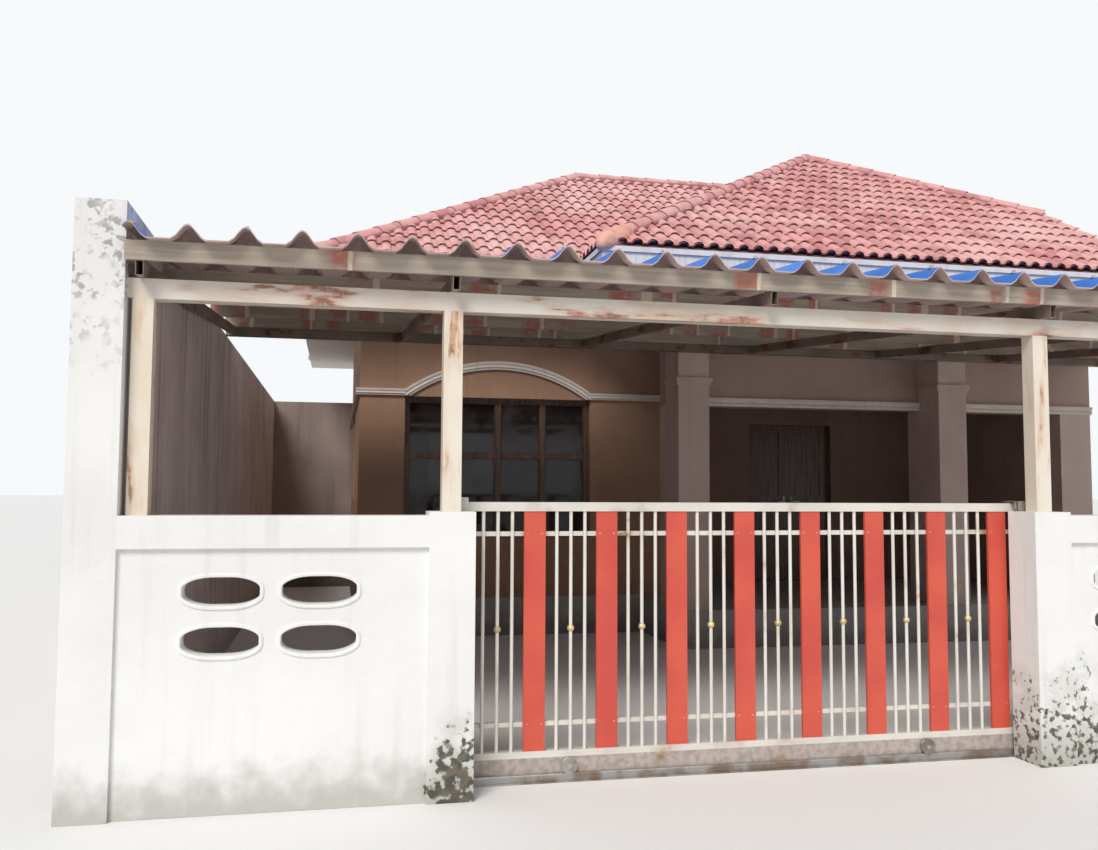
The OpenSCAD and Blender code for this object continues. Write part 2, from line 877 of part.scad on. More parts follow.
// Gable of the party wall, between the ceiling and the underside of the tiles
module party_gable() {
  inset = fascia_in + fascia_t;
  color("rosybrown")
    translate([lot_w - house_t, 0, 0]) rotate([90, 0, 90]) linear_extrude(house_t)
      polygon([
        [wing_y0 + inset, attic_z],
        [roof_y1 - inset, attic_z],
        [roof_y1 - inset, under_tiles_z(inset)],
        [ridge_y, under_tiles_z(half_d)],
        [valley_cut[1], under_tiles_z(cut_run)],
        [hip_cut[1], under_tiles_z(cut_run)],
        [wing_y0 + inset, under_tiles_z(inset)]
      ]);
}

// Endless covering that climbs to the back from an eave line
module front_fall(y_eave) {
  translate([0, y_eave, eave_z]) rotate([90, 0, 90]) linear_extrude(far)
    polygon([[0, 0], [far, far * rise], [far, far * rise - cover_t], [0, -cover_t]]);
}

// The same from the rear, left and right eaves
module rear_fall(y_eave) {
  translate([0, 2 * y_eave, 0]) mirror([0, 1, 0]) front_fall(y_eave);
}

module left_fall(x_eave) {
  translate([x_eave, far, eave_z]) rotate([90, 0, 0]) linear_extrude(2 * far)
    polygon([[0, 0], [far, far * rise], [far, far * rise - cover_t], [0, -cover_t]]);
}

module right_fall(x_eave) {
  translate([2 * x_eave, 0, 0]) mirror([1, 0, 0]) left_fall(x_eave);
}

// Keeps what lies over a plan outline
module over_plan(points) {
  intersection() {
    children();
    linear_extrude(far) polygon(points);
  }
}

module main_front_slope() {
  color("indianred") over_plan([
    [roof_x0, main_eave_y], [wing_x0, main_eave_y], valley_l, valley_r,
    valley_cut, [lot_w, ridge_y], [ridge_x0, ridge_y]
  ]) front_fall(main_eave_y);
}

module main_rear_slope() {
  color("indianred") over_plan([
    [roof_x0, roof_y1], [lot_w, roof_y1], [lot_w, ridge_y], [ridge_x0, ridge_y]
  ]) rear_fall(roof_y1);
}

module main_left_slope() {
  color("indianred") over_plan([
    [roof_x0, main_eave_y], [ridge_x0, ridge_y], [roof_x0, roof_y1]
  ]) left_fall(roof_x0);
}

module wing_front_slope() {
  color("indianred") over_plan([
    [wing_x0, wing_y0], [lot_w, wing_y0], hip_cut, apex
  ]) front_fall(wing_y0);
}

module wing_left_slope() {
  color("indianred") over_plan([
    [wing_x0, wing_y0], apex, valley_l, [wing_x0, main_eave_y]
  ]) left_fall(wing_x0);
}

module wing_right_slope() {
  color("indianred") over_plan([apex, hip_cut, valley_cut, valley_r]) right_fall(wing_x1);
}

module wing_rear_slope() {
  color("indianred") over_plan([apex, valley_r, valley_l]) rear_fall(apex[1] + half_w);
}

// Round cap over the meeting line of two slopes, from point a to point b, kept to one side
module cap(a, b, low, high) {
  d = b - a;
  intersection() {
    translate(a) rotate([0, 0, atan2(d[1], d[0])])
      rotate([0, -atan2(d[2], norm([d[0], d[1]])), 0])
        rotate([90, 0, 90]) linear_extrude(norm(d)) difference() {
          circle(r = cap_r, $fn = 40);
          circle(r = cap_r - cap_t, $fn = 40);
        }
    translate([low[0], low[1], eave_z - 10]) cube([high[0] - low[0], high[1] - low[1], far]);
  }
}

// Everything below the upper surfaces of the tiles
module below_tiles() {
  past = 10 * cap_r;
  dip = past * rise;
  intersection() {
    rotate([90, 0, 90]) linear_extrude(far)
      polygon([[main_eave_y - past, eave_z - dip], [ridge_y, ridge_z],
               [roof_y1 + past, eave_z - dip]]);
    translate([0, far, 0]) rotate([90, 0, 0]) linear_extrude(2 * far)
      polygon([[roof_x0 - past, eave_z - dip], [ridge_x0, ridge_z],
               [ridge_x0 + past, ridge_z + dip], [far, ridge_z + dip], [far, 0],
               [roof_x0 - past, 0]]);
  }
  intersection() {
    rotate([90, 0, 90]) linear_extrude(far)
      polygon([[wing_y0 - past, eave_z - dip], [apex[1], apex_z],
               [apex[1] + half_w, eave_z]]);
    translate([0, far, 0]) rotate([90, 0, 0]) linear_extrude(2 * far)
      polygon([[wing_x0 - past, eave_z - dip], [apex[0], apex_z],
               [wing_x1 + past, eave_z - dip], [wing_x1 + past, 0], [wing_x0 - past, 0]]);
  }
}

// Caps over the hips and the ridge, seated on the tiles
module roof_caps() {
  top = [apex[0], apex[1], apex_z];
  end = [ridge_x0, ridge_y, ridge_z];
  past = cap_r;
  color("firebrick") difference() {
    union() {
      cap([roof_x0, main_eave_y, eave_z], end, [roof_x0, main_eave_y], [end[0], ridge_y - fit]);
      cap([roof_x0, roof_y1, eave_z], end, [roof_x0, ridge_y], [end[0], roof_y1]);
      cap(end, [lot_w, ridge_y, ridge_z], [end[0] + fit, main_eave_y], [lot_w, roof_y1]);
      cap([wing_x0, wing_y0, eave_z], top, [wing_x0, wing_y0], [apex[0], apex[1] + past]);
      cap([lot_w, hip_cut[1], eave_z + rise * cut_run], top,
          [apex[0] + fit, wing_y0], [lot_w, apex[1] + past]);
    }
    translate([0, 0, 2 * fit]) below_tiles();
  }
}

placed() boundary_pillar();
placed() boundary_wall();
placed() passage_wall();
placed() street_wall_left();
placed() street_wall_right();
placed() vent_rims();
placed() gate_pier_left();
placed() gate_pier_right();
placed() end_pier();
placed() gate_track();
placed() gate_catch();
placed() gate_guide();
placed() gate_frame();
placed() gate_boards();
placed() gate_tubes();
placed() gate_balls();
placed() gate_wheel_left();
placed() gate_wheel_right();
placed() carport_posts();
placed() front_beam();
placed() rear_beam();
placed() rafters();
placed() purlins();
placed() roof_sheets();
placed() house_floor();
placed() porch_floor();
placed() plinth();
placed() front_wall();
placed() left_side_wall();
placed() back_wall();
placed() party_wall();
placed() porch_side_wall();
placed() porch_back_wall();
placed() entrance_door();
placed() porch_column_left();
placed() porch_column_right();
placed() party_pier();
placed() porch_beam();
placed() mouldings();
placed() window_arch();
placed() front_window_frame();
placed() small_window_frames();
placed() window_glass();
placed() ceiling();
placed() fascia();
placed() party_gable();
placed() main_front_slope();
placed() main_rear_slope();
placed() main_left_slope();
placed() wing_front_slope();
placed() wing_left_slope();
placed() wing_right_slope();
placed() wing_rear_slope();
placed() roof_caps();
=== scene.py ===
"""Looks of a tiled bungalow with a porch, a steel carport, a street wall and a sliding gate."""

import json
import logging
import math
from contextlib import contextmanager
from dataclasses import dataclass, field
from enum import Enum
from typing import Any, Callable, Iterator, Optional, Union

import bpy
from mathutils import Matrix, Vector

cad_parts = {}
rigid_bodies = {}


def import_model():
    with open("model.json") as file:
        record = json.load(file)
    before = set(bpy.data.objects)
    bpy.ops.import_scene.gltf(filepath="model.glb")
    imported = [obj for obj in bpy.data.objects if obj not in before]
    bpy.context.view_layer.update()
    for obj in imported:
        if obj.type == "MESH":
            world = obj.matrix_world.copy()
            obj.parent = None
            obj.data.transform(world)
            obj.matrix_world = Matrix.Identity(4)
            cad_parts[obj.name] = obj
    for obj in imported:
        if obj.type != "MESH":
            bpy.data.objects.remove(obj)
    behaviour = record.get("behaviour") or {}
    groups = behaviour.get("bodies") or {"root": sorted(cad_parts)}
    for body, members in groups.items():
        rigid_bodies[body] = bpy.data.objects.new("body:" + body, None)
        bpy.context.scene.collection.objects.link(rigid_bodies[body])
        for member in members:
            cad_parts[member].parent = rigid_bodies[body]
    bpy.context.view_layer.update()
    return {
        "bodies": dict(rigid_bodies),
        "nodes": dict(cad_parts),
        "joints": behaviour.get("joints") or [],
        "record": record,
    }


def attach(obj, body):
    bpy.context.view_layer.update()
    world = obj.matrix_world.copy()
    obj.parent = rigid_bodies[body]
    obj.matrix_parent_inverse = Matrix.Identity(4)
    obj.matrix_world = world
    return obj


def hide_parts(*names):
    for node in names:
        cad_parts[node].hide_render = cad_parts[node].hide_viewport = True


LOG = logging.getLogger("bungalow")
Colour = tuple[float, float, float]
Place = tuple[float, float, float]
Plan = tuple[float, float]
Point = Union[Vector, Place]
Number = Union["Wire", float]
Tint = Union["Wire", Colour]

MIDDLE_X = 4.91
MIDDLE_Y = 6.18414
HOUSE = "house"
GATE = "gate"
PLUS_X: Place = (1.0, 0.0, 0.0)
PLUS_Y: Place = (0.0, 1.0, 0.0)
PLUS_Z: Place = (0.0, 0.0, 1.0)
MINUS_Z: Place = (0.0, 0.0, -1.0)
# Turns that lay what stands along z towards the house or towards the street
LIE_BACK = Matrix.Rotation(math.radians(-90.0), 4, "X")
LIE_FORWARD = Matrix.Rotation(math.radians(90.0), 4, "X")


def at(x: float, y: float, z: float) -> Vector:
    """Turns a place measured from the street corner of the plot into the frame's own place.

    Args:
        x: Metres along the street.
        y: Metres into the plot.
        z: Metres above the ground.

    Returns:
        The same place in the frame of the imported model.
    """
    return Vector((x - MIDDLE_X, y - MIDDLE_Y, z))


# Finishes


def reckoning(operation: str, swapped: bool = False) -> Callable[..., "Wire"]:
    """Makes a method of a wire that adds the Math node for one operation.

    Args:
        operation: Blender's name of the operation.
        swapped: Whether the other number comes first.

    Returns:
        The method.
    """

    def reckon(wire: "Wire", other: Number = 0.0) -> "Wire":
        """Reckons with the wire and another number."""
        first, second = (other, wire) if swapped else (wire, other)
        return wire.bench.wire("ShaderNodeMath", {"operation": operation}, {0: first, 1: second})

    return reckon


class Wire:
    """A socket of a finish that can be reckoned with like a number."""

    def __init__(self, bench: "Bench", socket: Any) -> None:
        """Keeps the socket and the bench that it belongs to."""
        self.bench = bench
        self.socket = socket

    __add__ = reckoning("ADD")
    __radd__ = reckoning("ADD", swapped=True)
    __sub__ = reckoning("SUBTRACT")
    __rsub__ = reckoning("SUBTRACT", swapped=True)
    __mul__ = reckoning("MULTIPLY")
    __truediv__ = reckoning("DIVIDE")
    floor = reckoning("FLOOR")
    size = reckoning("ABSOLUTE")
    rest = reckoning("FRACT")
    most = reckoning("MAXIMUM")

    def rise(self, low: float, high: float) -> "Wire":
        """Soft step.

        Args:
            low: Value at which the step starts from 0.
            high: Value at which it has reached 1.

        Returns:
            A number from 0 to 1.
        """
        step = {"interpolation_type": "SMOOTHSTEP"}
        return self.bench.wire("ShaderNodeMapRange", step, {0: self, 1: low, 2: high})


def toned(colour: Colour, factor: float) -> Colour:
    """Makes a colour lighter or darker by a factor."""
    return tuple(part * factor for part in colour)


class Bench:
    """The node tree of a material or of the world while it is put together."""

    def __init__(self, owner: Any) -> None:
        """Empties the tree of its owner, a material or a world."""
        self.owner = owner
        owner.use_nodes = True
        self.tree = owner.node_tree
        self.tree.nodes.clear()

    def node(self, kind: str, settings: dict[str, Any], inputs: dict[Any, Any]) -> Any:
        """Adds one node.

        Args:
            kind: Blender's name of the node type.
            settings: Properties of the node, which are set first.
            inputs: Values, colours or wires by socket name or number.

        Returns:
            The new node.
        """
        made = self.tree.nodes.new(kind)
        for key, value in settings.items():
            setattr(made, key, value)
        for key, value in inputs.items():
            socket = made.inputs[key]
            if isinstance(value, Wire):
                self.tree.links.new(value.socket, socket)
            elif isinstance(value, tuple) and socket.type == "RGBA":
                socket.default_value = (*value, 1.0)
            else:
                socket.default_value = value
        return made

    def wire(
        self, kind: str, settings: dict[str, Any], inputs: dict[Any, Any], output: Any = 0
    ) -> Wire:
        """Adds one node and gives one of its outputs as a wire."""
        return Wire(self, self.node(kind, settings, inputs).outputs[output])

    def place(self) -> Wire:
        """Place on the object in metres."""
        return self.wire("ShaderNodeTexCoord", {}, {}, "Object")

    def noise(self, scale: float, detail: float = 3.0, stretch: Place = (1.0, 1.0, 1.0)) -> Wire:
        """Cloudy pattern from 0 to 1.

        Args:
            scale: Clouds in a metre.
            detail: Levels of finer clouds.
            stretch: Factors along the three axes.

        Returns:
            The pattern.
        """
        place = self.wire("ShaderNodeMapping", {}, {"Vector": self.place(), "Scale": stretch})
        inputs = {"Vector": place, "Scale": scale, "Detail": detail}
        return self.wire("ShaderNodeTexNoise", {}, inputs)

    def axis(self, number: int) -> Wire:
        """One of the three distances of the place, in metres."""
        return self.wire("ShaderNodeSeparateXYZ", {}, {0: self.place()}, number)

    def facing(self, number: int) -> Wire:
        """How far the surface faces along one of the three axes."""
        normal = self.wire("ShaderNodeNewGeometry", {}, {}, "Normal")
        return self.wire("ShaderNodeSeparateXYZ", {}, {0: normal}, number)

    def mix(self, share: Number, first: Tint, second: Tint) -> Wire:
        """Mixes two colours.

        Args:
            share: Share of the second colour, from 0 to 1.
            first: Colour at 0.
            second: Colour at 1.

        Returns:
            The mixed colour.
        """
        inputs = {0: share, 6: first, 7: second}
        return self.wire("ShaderNodeMix", {"data_type": "RGBA"}, inputs, 2)

    def surface(
        self, base: Tint, rough: Number, bump: Optional[Number] = None, depth: float = 0.0,
        **plain: Any,
    ) -> None:
        """Ends the tree with a surface.

        Args:
            base: Colour of the surface.
            rough: Roughness from 0 to 1.
            bump: Height pattern, if there is one.
            depth: Height of the pattern in metres.
            **plain: Further sockets of the surface.
        """
        inputs: dict[Any, Any] = {"Base Color": base, "Roughness": rough}
        if bump is not None:
            raised = {"Strength": 1.0, "Distance": depth, "Height": bump}
            inputs["Normal"] = self.wire("ShaderNodeBump", {}, raised)
        shader = self.wire("ShaderNodeBsdfPrincipled", {}, {**inputs, **plain})
        self.node("ShaderNodeOutputMaterial", {}, {"Surface": shader})


@dataclass(frozen=True)
class Finish:
    """A finish that is made once and then shared."""

    name: str

    def material(self) -> Any:
        """Gives the finish's material, made at its first use."""
        known = bpy.data.materials.get(self.name)
        if known is not None:
            return known
        bench = Bench(bpy.data.materials.new(self.name))
        self.dress(bench)
        return bench.owner

    def dress(self, bench: Bench) -> None:
        """Puts the finish's nodes on the bench."""
        raise NotImplementedError


@dataclass(frozen=True)
class MossSpot:
    """A damp, dark patch at the foot of a wall."""

    centre: float
    half_width: float
    height: float
    density: float = 1.0

    def mask(self, bench: Bench, ragged: Wire) -> Wire:
        """How thick the patch grows, from 0 to 1.

        Args:
            bench: The bench of the finish.
            ragged: A pattern that frays the patch's edge.

        Returns:
            The thickness of the growth.
        """
        side = (bench.axis(0) - self.centre).size() / self.half_width
        up = bench.axis(2) / self.height
        far = side * side * 0.55 + up * up * 0.75
        return (1.0 - (far + (ragged - 0.5) * 1.3).rise(0.12, 0.85)) * self.density


@dataclass(frozen=True)
class WallPaint(Finish):
    """Paint on plaster, with drip marks, splashed dirt and damp patches."""

    paint: Colour
    second: Colour
    drip: Colour
    dirt: Colour
    drips: float = 0.3
    splash: float = 0.3
    speckle: float = 0.0
    speckle_from: float = 0.0
    moss: tuple[MossSpot, ...] = ()
    rough: float = 0.85

    def dress(self, bench: Bench) -> None:
        """Puts the finish's nodes on the bench."""
        cloud = bench.noise(1.3, 5.0)
        fine = bench.noise(9.0, 6.0)
        grain = bench.noise(70.0, 3.0)
        runs = bench.noise(1.0, 5.0, (11.0, 11.0, 0.55))
        colour = bench.mix(cloud.rise(0.35, 0.68), self.paint, self.second)
        colour = bench.mix(runs.rise(0.52, 0.78) * self.drips, colour, self.drip)
        foot = 1.0 - (bench.axis(2) + (fine - 0.5) * 0.35).rise(0.0, self.splash)
        colour = bench.mix(foot * 0.75, colour, self.dirt)
        if self.speckle:
            worn = bench.axis(2) + (cloud - 0.5) * 1.2
            worn = worn.rise(self.speckle_from, self.speckle_from + 0.9)
            flakes = bench.noise(24.0, 14.0).rise(0.5, 0.58)
            flakes = flakes * bench.noise(5.0, 4.0).rise(0.42, 0.56)
            colour = bench.mix(flakes * worn * self.speckle, colour, self.drip)
        for spot in self.moss:
            depth = spot.mask(bench, bench.noise(7.0, 10.0))
            haze = bench.noise(9.0, 8.0).rise(0.3, 0.6)
            colour = bench.mix(depth * haze * 0.6, colour, (0.33, 0.34, 0.28))
            specks = (bench.noise(26.0, 12.0) + depth * 0.3 - 0.19).rise(0.49, 0.6)
            tone = bench.noise(17.0, 6.0).rise(0.42, 0.6)
            tone = bench.mix(tone, (0.035, 0.04, 0.028), (0.13, 0.10, 0.065))
            colour = bench.mix(specks * depth.rise(0.04, 0.3) * 0.92, colour, tone)
        bench.surface(colour, self.rough - fine * 0.12, grain + fine * 2.0 + cloud * 4.0, 0.0016)


@dataclass(frozen=True)
class SteelPaint(Finish):
    """Old paint on steel, with rust that breaks through and runs down."""

    paint: Colour
    second: Colour
    rust: Colour
    amount: float
    rough: float = 0.5
    stretch: Place = (1.0, 1.0, 1.0)
    metal: float = 0.0
    low: Optional[Colour] = None
    low_top: float = 0.0

    def dress(self, bench: Bench) -> None:
        """Puts the finish's nodes on the bench."""
        cloud = bench.noise(2.2, 4.0)
        fine = bench.noise(30.0, 6.0)
        spots = bench.noise(5.0, 7.0, self.stretch)
        edge = 0.72 - self.amount * 0.3
        rusty = spots.rise(edge, edge + 0.07)
        halo = spots.rise(edge - 0.12, edge + 0.05)
        colour = bench.mix(cloud.rise(0.35, 0.65), self.paint, self.second)
        if self.low is not None:
            under = 1.0 - bench.axis(2).rise(self.low_top, self.low_top + 0.001)
            dusty = bench.mix(fine.rise(0.35, 0.7), self.low, toned(self.low, 0.7))
            colour = bench.mix(under, colour, dusty)
        colour = bench.mix(halo * 0.4, colour, self.rust)
        deep = bench.mix(fine.rise(0.4, 0.6), self.rust, toned(self.rust, 0.55))
        colour = bench.mix(rusty, colour, deep)
        rough = self.rough + rusty * (0.9 - self.rough) + (fine - 0.5) * 0.15
        metal = (1.0 - rusty) * self.metal
        bench.surface(colour, rough, fine * 0.6 + rusty * 0.8, 0.0007, Metallic=metal)


@dataclass(frozen=True)
class PrimerPaint(Finish):
    """Dull purlin paint with patches of red primer and of fresh cream paint."""

    paint: Colour
    primer: Colour
    fresh: Colour
    patch: float = 0.27

    def dress(self, bench: Bench) -> None:
        """Puts the finish's nodes on the bench."""
        wander = bench.noise(1.7, 3.0, (1.0, 0.1, 0.1)) * 2.2
        along = bench.axis(0) / self.patch + wander + (bench.axis(1) * 1.1).floor() * 7.3
        inputs = {"W": along.floor()}
        cell = bench.wire("ShaderNodeTexWhiteNoise", {"noise_dimensions": "1D"}, inputs)
        fine = bench.noise(26.0, 8.0)
        soft = bench.noise(7.0, 6.0)
        streak = bench.noise(3.0, 6.0, (0.5, 7.0, 11.0))
        inside = (along.rest() - 0.5).size() + (soft - 0.5) * 0.5
        patch = (1.0 - inside.rise(0.16, 0.4)) * cell.rise(0.5, 0.51)
        worn = (streak * 0.6 + fine * 0.4).rise(0.42, 0.55)
        side = (along.rest() - cell).size() + (fine - 0.5) * 0.05
        stripe = (1.0 - side.rise(0.05, 0.07)) * cell.rise(0.55, 0.56)
        colour = bench.mix(streak.rise(0.4, 0.65), self.paint, toned(self.paint, 1.3))
        colour = bench.mix(patch * worn, colour, self.primer)
        colour = bench.mix(stripe * 0.8, colour, self.fresh)
        bench.surface(colour, 0.7 + (fine - 0.5) * 0.2, fine, 0.0008)


@dataclass(frozen=True)
class SheetFinish(Finish):
    """Fibre cement sheet: blue paint above, bare and stained below."""

    above: Colour
    below: Colour
    stain: Colour

    def dress(self, bench: Bench) -> None:
        """Puts the finish's nodes on the bench."""
        cloud = bench.noise(1.6, 6.0, (2.2, 0.6, 1.0))
        fibre = bench.noise(40.0, 5.0, (1.0, 0.25, 1.0))
        under = bench.mix(cloud.rise(0.42, 0.7) * 0.7, self.below, self.stain)
        worn = tuple(part * 1.35 + 0.05 for part in self.above)
        over = bench.mix(cloud.rise(0.45, 0.75), self.above, worn)
        colour = bench.mix(bench.facing(2).rise(0.0, 0.1), under, over)
        bench.surface(colour, 0.78 - fibre * 0.15, fibre, 0.0008)


class Row(Enum):
    """The way in which a row of tiles runs over the plot."""

    ALONG_STREET = 0
    INTO_PLOT = 1


@dataclass(frozen=True)
class TileClay(Finish):
    """Pink glaze-less roof tiles, each with its own tone, weathered in patches, with painted shade
    on the faces that do not look up.
    """

    row: Row
    gauge: float
    width: float = 0.15
    light: Colour = (0.74, 0.37, 0.35)
    deep: Colour = (0.55, 0.23, 0.22)
    pale: Colour = (0.84, 0.54, 0.51)
    # Used for real damp soot and for the painted shade on faces that do not look up.
    soot_and_shade: Colour = (0.18, 0.08, 0.11)

    def dress(self, bench: Bench) -> None:
        """Puts the finish's nodes on the bench."""
        across, up = (0, 1) if self.row is Row.ALONG_STREET else (1, 0)
        column = (bench.axis(across) / self.width).floor()
        course = (bench.axis(up) / self.gauge).floor()
        cell = bench.wire("ShaderNodeCombineXYZ", {}, {0: column, 1: course})
        own = bench.wire("ShaderNodeTexWhiteNoise", {"noise_dimensions": "2D"}, {"Vector": cell})
        cloud = bench.noise(0.8, 5.0)
        fine = bench.noise(34.0, 6.0)
        damp = bench.noise(2.3, 6.0)
        colour = bench.mix(own.rise(0.1, 0.95), self.light, self.deep)
        colour = bench.mix(cloud.rise(0.42, 0.7) * 0.7, colour, self.pale)
        colour = bench.mix(damp.rise(0.6, 0.75) * fine.rise(0.4, 0.6) * 0.6, colour, self.soot_and_shade)
        # Painted shade: faces that do not look up, such as the tiles' lower lips and the caps'
        # sides, are darkened towards the soot colour.
        lip = (1.0 - bench.facing(2).rise(0.1, 0.5)) * 0.75
        colour = bench.mix(lip, colour, self.soot_and_shade)
        bench.surface(colour, 0.72 + (fine - 0.5) * 0.25, fine + damp, 0.0012)


@dataclass(frozen=True)
class DeckEdge(Finish):
    """Dark level faces, for clay dust and painted shade under the tiles; white board paint on the
    upright eave edge.
    """

    # Dark colour of the level faces: clay dust and painted shade under the tiles.
    dust: Colour
    board: Colour

    def dress(self, bench: Bench) -> None:
        """Puts the finish's nodes on the bench."""
        cloud = bench.noise(5.0, 6.0)
        grain = bench.noise(50.0, 4.0)
        # Painted shade: faces that look up or down take the dark dust colour, standing for clay
        # dust on top and for the shade under the tiles.
        level = bench.facing(2).size().rise(0.3, 0.4)
        dark = bench.mix(cloud, self.dust, toned(self.dust, 0.6))
        pale = bench.mix(cloud.rise(0.4, 0.7), self.board, toned(self.board, 0.82))
        bench.surface(bench.mix(level, pale, dark), 0.8 - grain * 0.1, grain, 0.0008)


@dataclass(frozen=True)
class Mortar(Finish):
    """Rough bedding mortar."""

    body: Colour
    dark: Colour

    def dress(self, bench: Bench) -> None:
        """Puts the finish's nodes on the bench."""
        lump = bench.noise(9.0, 8.0)
        sand = bench.noise(90.0, 3.0)
        colour = bench.mix(lump.rise(0.4, 0.65), self.body, self.dark)
        bench.surface(colour, 0.92 - sand * 0.1, lump * 3.0 + sand, 0.004)


@dataclass(frozen=True)
class Timber(Finish):
    """Painted or varnished wood with upright grain."""

    light: Colour
    dark: Colour
    rough: float = 0.45

    def dress(self, bench: Bench) -> None:
        """Puts the finish's nodes on the bench."""
        grain = bench.noise(16.0, 8.0, (3.0, 3.0, 0.14))
        pore = bench.noise(70.0, 4.0, (2.0, 2.0, 0.1))
        cloud = bench.noise(1.5, 4.0)
        colour = bench.mix(grain.rise(0.35, 0.65), self.light, self.dark)
        colour = bench.mix(cloud.rise(0.5, 0.8) * 0.4, colour, self.dark)
        bench.surface(colour, self.rough + (pore - 0.5) * 0.2, grain + pore, 0.0006)


@dataclass(frozen=True)
class Pane(Finish):
    """Dusty window glass, nearly opaque and near black as painted shade of the dark room behind."""

    room_shade: Colour = (0.022, 0.017, 0.016)

    def dress(self, bench: Bench) -> None:
        """Puts the finish's nodes on the bench."""
        dust = bench.noise(3.0, 7.0).rise(0.45, 0.8)
        # Painted shade: near-black, mostly opaque glass stands for the dark room behind it; the
        # pale dust is real.
        colour = bench.mix(dust * 0.2, self.room_shade, (0.22, 0.15, 0.13))
        bench.surface(colour, 0.05 + dust * 0.25, Alpha=0.72 + dust * 0.2)


@dataclass(frozen=True)
class BareMetal(Finish):
    """Metal with rubbed and dull places."""

    bright: Colour
    dull: Colour
    rough: float = 0.35
    metal: float = 1.0

    def dress(self, bench: Bench) -> None:
        """Puts the finish's nodes on the bench."""
        cloud = bench.noise(8.0, 6.0)
        rub = bench.noise(60.0, 4.0)
        colour = bench.mix(cloud.rise(0.4, 0.7), self.bright, self.dull)
        rough = self.rough + cloud * 0.3 + (rub - 0.5) * 0.1
        metal = self.metal - cloud.rise(0.55, 0.75) * 0.5
        bench.surface(colour, rough, rub, 0.0004, Metallic=metal)


LEFT_PIER_X = 1.86 - MIDDLE_X
RIGHT_PIER_X = 5.39 - MIDDLE_X

STREET_PAINT = WallPaint(
    "street_wall_paint", (0.86, 0.86, 0.85), (0.80, 0.79, 0.78),
    (0.55, 0.52, 0.48), (0.42, 0.40, 0.36), drips=0.28,
    moss=(
        MossSpot(LEFT_PIER_X + 0.03, 0.15, 0.46),
        MossSpot(RIGHT_PIER_X + 0.11, 0.5, 0.68, 0.66),
    ),
)
PILLAR_PAINT = WallPaint(
    "boundary_pillar_paint", (0.84, 0.83, 0.82), (0.76, 0.75, 0.74),
    (0.38, 0.37, 0.35), (0.40, 0.38, 0.35), drips=0.45, speckle=0.95, speckle_from=1.9,
)
BOUNDARY_PAINT = WallPaint(
    "boundary_wall_paint", (0.76, 0.65, 0.62), (0.62, 0.51, 0.49),
    (0.24, 0.17, 0.17), (0.34, 0.30, 0.27), drips=0.7, splash=0.4,
)
PASSAGE_PAINT = WallPaint(
    "passage_wall_paint", (0.36, 0.29, 0.26), (0.28, 0.22, 0.20),
    (0.12, 0.09, 0.085), (0.11, 0.09, 0.08), drips=0.6, splash=0.4,
)
HOUSE_PAINT = WallPaint(
    "house_wall_paint", (0.42, 0.25, 0.16), (0.36, 0.21, 0.135),
    (0.23, 0.14, 0.10), (0.18, 0.12, 0.09), splash=0.75,
)
PORCH_PAINT = WallPaint(
    "porch_wall_paint", (0.50, 0.36, 0.31), (0.43, 0.30, 0.26),
    (0.27, 0.19, 0.17), (0.22, 0.16, 0.14), splash=0.7,
)
COLUMN_PAINT = WallPaint(
    "porch_column_paint", (0.68, 0.54, 0.49), (0.60, 0.46, 0.42),
    (0.42, 0.34, 0.31), (0.32, 0.27, 0.24), splash=0.7,
)
# Painted shade: a darker copy of the porch paint on the porch's side and back walls, standing for
# the deep shade inside the porch.
PORCH_SHADE_PAINT = WallPaint(
    "porch_painted_shade", (0.30, 0.19, 0.155), (0.24, 0.15, 0.125),
    (0.13, 0.085, 0.075), (0.12, 0.09, 0.08), drips=0.4, splash=0.7,
)
MOULDING_PAINT = WallPaint(
    "moulding_paint", (0.78, 0.71, 0.65), (0.68, 0.61, 0.56),
    (0.46, 0.40, 0.36), (0.5, 0.45, 0.4), drips=0.35, splash=0.01,
)
RIM_PAINT = WallPaint(
    "vent_rim_paint", (0.90, 0.90, 0.89), (0.82, 0.81, 0.80),
    (0.55, 0.53, 0.50), (0.5, 0.48, 0.45), drips=0.4, splash=0.01,
)
FLOOR_CONCRETE = WallPaint(
    "floor_concrete", (0.42, 0.40, 0.38), (0.34, 0.32, 0.31),
    (0.20, 0.19, 0.18), (0.18, 0.17, 0.16), drips=0.5,
)
SOFFIT_PAINT = Timber("soffit_board_paint", (0.80, 0.76, 0.74), (0.68, 0.63, 0.62), 0.6)
JOINERY = Timber("dark_joinery", (0.16, 0.085, 0.05), (0.07, 0.035, 0.025), 0.38)
POST_PAINT = SteelPaint(
    "post_paint", (0.82, 0.76, 0.66), (0.76, 0.66, 0.54), (0.62, 0.36, 0.22), 0.34,
    stretch=(2.6, 2.6, 0.5),
)
BEAM_PAINT = SteelPaint(
    "beam_paint", (0.76, 0.70, 0.62), (0.68, 0.58, 0.48), (0.58, 0.30, 0.22), 0.4,
    stretch=(0.6, 2.6, 2.6),
)
